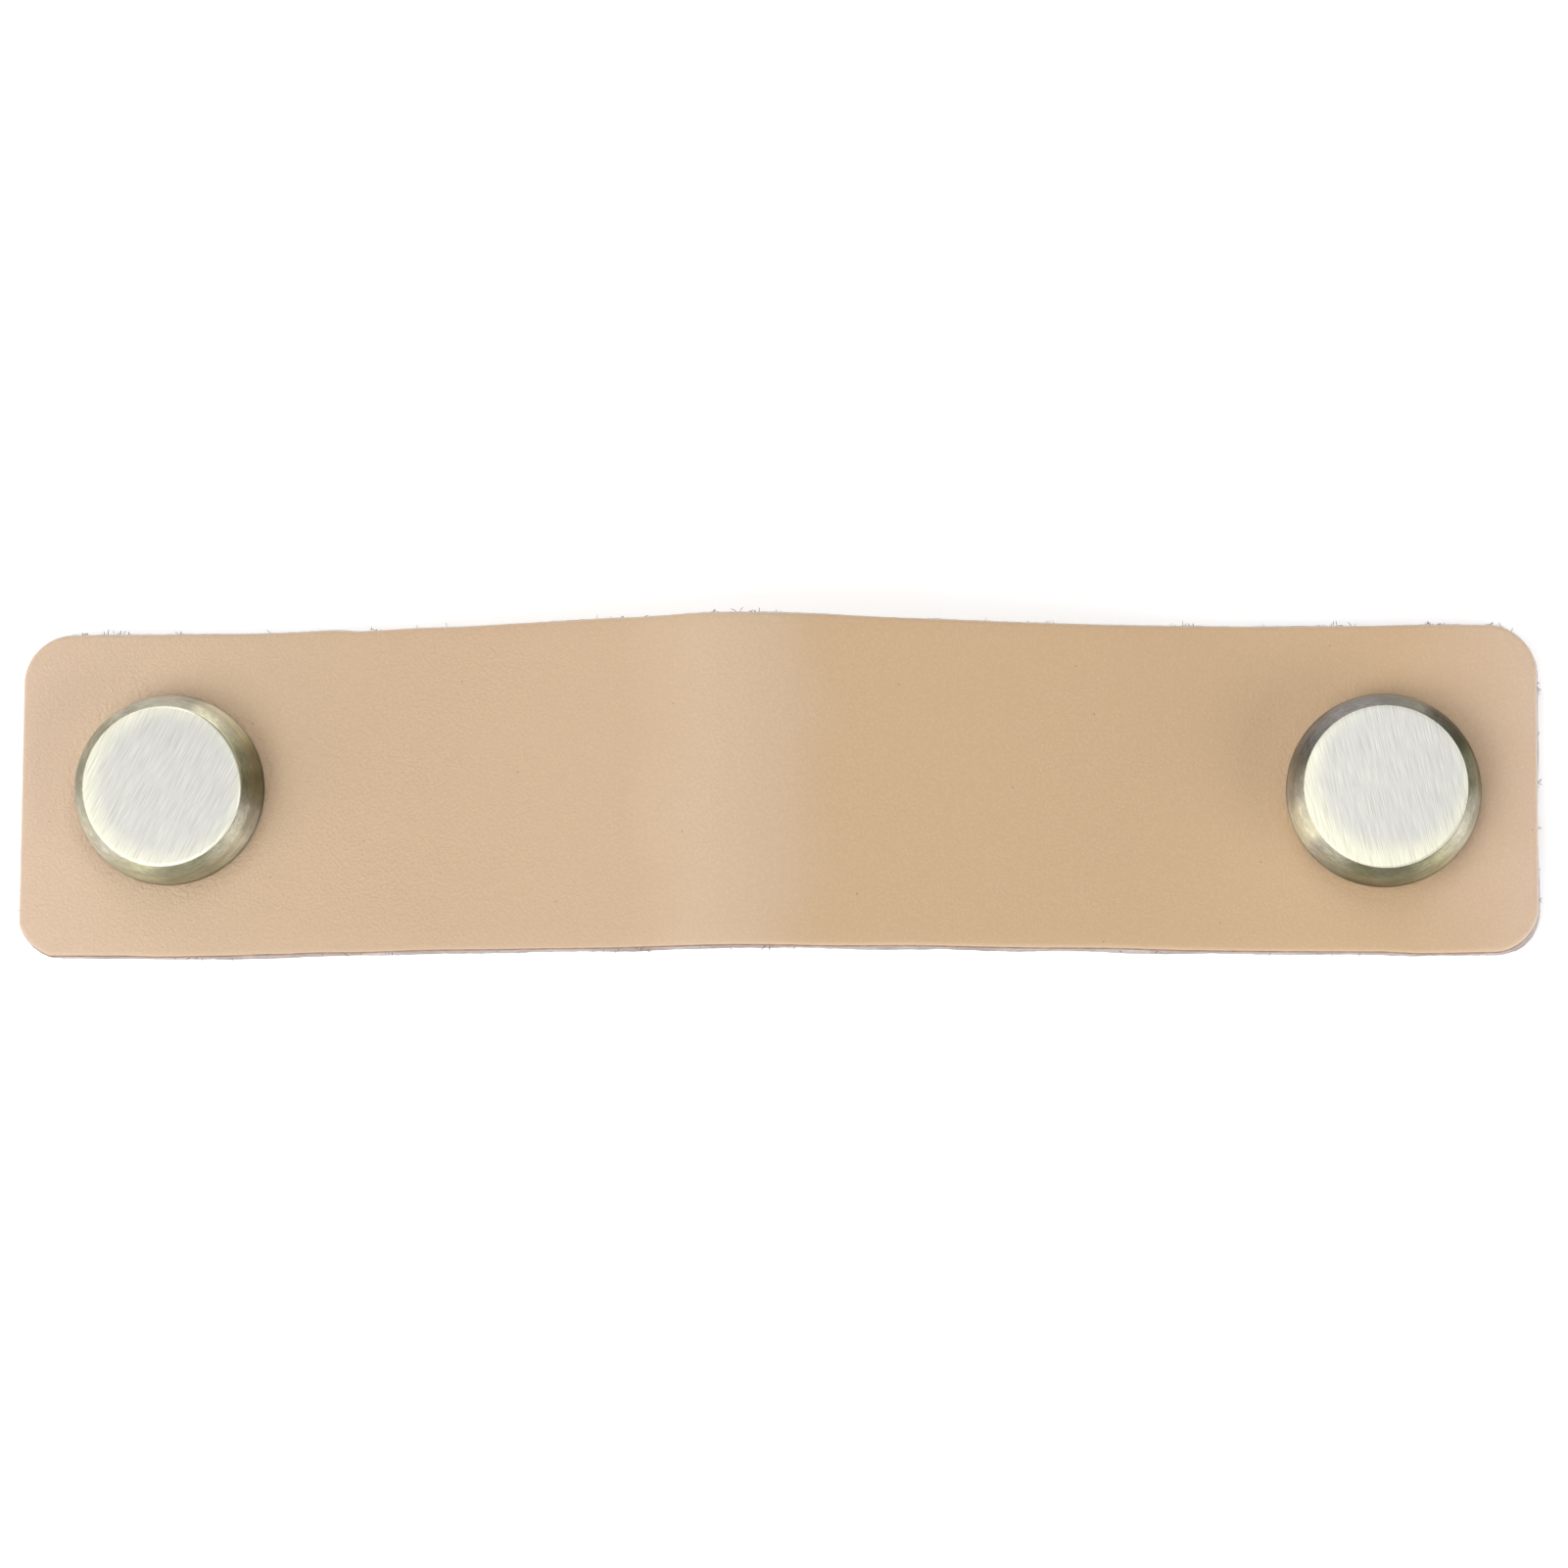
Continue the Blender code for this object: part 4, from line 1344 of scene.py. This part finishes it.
class STRAPPULL_OT_fibres(bpy.types.Operator):
    """Stands loose fibres on the strap's cut edge"""

    bl_idname = "strap_pull.fibres"
    bl_label = "Edge fibres"

    def execute(self, context):
        scene = context.scene
        sizes, fibres = scene.strap_sizes, scene.fibre_sizes
        piece = new_piece("edge_fibres", cut_path(sizes))
        values = bow_values(sizes) | {
            "Spacing": fibres.spacing,
            "Shortest": fibres.shortest,
            "Longest": fibres.longest,
            "Fibre Thickness": fibres.thickness,
            "Core Height": sizes.thickness - sizes.edge_roll - sizes.film,
            "Least Height": 0.02 * MM,
            "Seed": fibres.seed,
        }
        grown(piece, fibre_tree(loose_fibre(scene.leather_colours)), values)
        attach(piece, "root")
        return {"FINISHED"}


class STRAPPULL_OT_caps(bpy.types.Operator):
    """Turns the two brass caps, each with its boss and threaded bore"""

    bl_idname = "strap_pull.caps"
    bl_label = "Caps"

    def execute(self, context):
        scene = context.scene
        sizes, cap, colours = scene.strap_sizes, scene.cap_sizes, scene.brass_colours
        middle = sizes.screw_spacing / 2
        profile = cap_profile(cap, cap_foot(sizes))
        places = []
        for zones in ((TOP,), (TOP, SHOULDER)):
            passed = [p for p in profile if p[2] in zones]
            places.append(sum(math.dist(a[:2], b[:2]) for a, b in zip(passed, passed[1:])) / MM)
        shoulder = brushed_shoulder("antique_brass_shoulder", *places, colours)
        inside = turned_brass("turned_brass", colours)
        # The last number of each row is painted light: the left top a little darker, the right top a little
        # lighter
        for side, x, brush, patches, worn, dull, painted_light in (
            ("left", -middle, cap.left_brush, LEFT_PATCHES, (0.45, 0.15), (-0.7, -0.4), 0.945),
            ("right", middle, cap.right_brush, RIGHT_PATCHES, (0.45, 1.0), (0.0, 0.0), 1.04),
        ):
            top = brushed_top(f"brushed_brass_top_{side}", (x, 0.0), worn, dull, brush, painted_light, colours)
            piece = turned_cap(f"cap_{side}_brass", x, brush, patches, sizes, cap, (top, shoulder, inside))
            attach(piece, "root")
            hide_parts(f"cap_{side}")
        return {"FINISHED"}


class STRAPPULL_OT_stage(bpy.types.Operator):
    """Sets the floor, the lights and the camera"""

    bl_idname = "strap_pull.stage"
    bl_label = "Stage"

    def execute(self, context):
        scene = context.scene
        studio = scene.studio_settings
        mesh = bpy.data.meshes.new("floor")
        corners = ((-1, -1), (1, -1), (1, 1), (-1, 1))
        points = [(FLOOR_REACH * x, FLOOR_REACH * y, 0.0) for x, y in corners]
        mesh.from_pydata(points, [], [(0, 1, 2, 3)])
        mesh.materials.append(white_acrylic(studio))
        floor = new_piece("floor", mesh)

        world = bpy.data.worlds.new("studio_room")
        world.use_nodes = True
        background = world.node_tree.nodes["Background"]
        background.inputs["Color"].default_value = (0.97, 0.98, 1.0, 1.0)
        background.inputs["Strength"].default_value = studio.surroundings
        scene.world = world

        away = PANEL_DISTANCE
        for name, turn, wide, lowest, highest, radiance in PANELS:
            turn, middle = math.radians(turn), math.radians((lowest + highest) / 2)
            out, up = away * math.cos(middle), away * math.sin(middle)
            width = 2 * out * math.tan(math.radians(wide / 2))
            tall = 2 * away * math.tan(math.radians((highest - lowest) / 2))
            place = (out * math.cos(turn), out * math.sin(turn), up)
            light_panel(name, place, (0.0, 0.0, 0.0), width, tall, radiance * studio.panels)
        for name, x, y, radiance in OVERHEAD:
            place = (x, y, OVERHEAD_HEIGHT)
            light_panel(name, place, (x, y, 0.0), OVERHEAD_SIDE, OVERHEAD_SIDE, radiance * studio.panels)

        data = bpy.data.cameras.new("photo_camera")
        data.sensor_width = 36.0
        data.lens = studio.camera_lens
        data.clip_start = 0.01
        data.clip_end = 20.0
        camera = bpy.data.objects.new("photo_camera", data)
        camera.location = studio.camera_place
        camera.rotation_mode = "ZYX"
        camera.rotation_euler = studio.camera_turn
        scene.collection.objects.link(camera)
        scene.camera = camera
        scene.view_settings.view_transform = "Standard"
        scene.view_settings.look = "None"
        return {"FINISHED"}


class STRAPPULL_PT_panel(bpy.types.Panel):
    """Sizes and colours of the strap pull, and the steps that build it"""

    bl_idname = "STRAPPULL_PT_panel"
    bl_label = "Strap Pull"
    bl_space_type = "VIEW_3D"
    bl_region_type = "UI"
    bl_category = "Strap Pull"

    def draw(self, context):
        for name, _ in GROUPS:
            group = getattr(context.scene, name)
            box = self.layout.box()
            box.label(text=name.replace("_", " ").capitalize())
            for prop in group.__annotations__:
                box.prop(group, prop)
        for operator in OPERATORS:
            self.layout.operator(operator.bl_idname)


GROUPS = (
    ("strap_sizes", StrapSizes),
    ("leather_colours", LeatherColours),
    ("fibre_sizes", FibreSizes),
    ("cap_sizes", CapSizes),
    ("brass_colours", BrassColours),
    ("studio_settings", StudioSettings),
)
OPERATORS = (STRAPPULL_OT_strap, STRAPPULL_OT_fibres, STRAPPULL_OT_caps, STRAPPULL_OT_stage)


def register():
    for name, group in GROUPS:
        bpy.utils.register_class(group)
        setattr(bpy.types.Scene, name, bpy.props.PointerProperty(type=group))
    for cls in (*OPERATORS, STRAPPULL_PT_panel):
        bpy.utils.register_class(cls)


def unregister():
    for cls in (STRAPPULL_PT_panel, *reversed(OPERATORS)):
        bpy.utils.unregister_class(cls)
    for name, group in reversed(GROUPS):
        delattr(bpy.types.Scene, name)
        bpy.utils.unregister_class(group)


def main():
    register()
    bpy.ops.strap_pull.strap()
    bpy.ops.strap_pull.fibres()
    bpy.ops.strap_pull.caps()
    bpy.ops.strap_pull.stage()


if __name__ == "__main__":
    main()
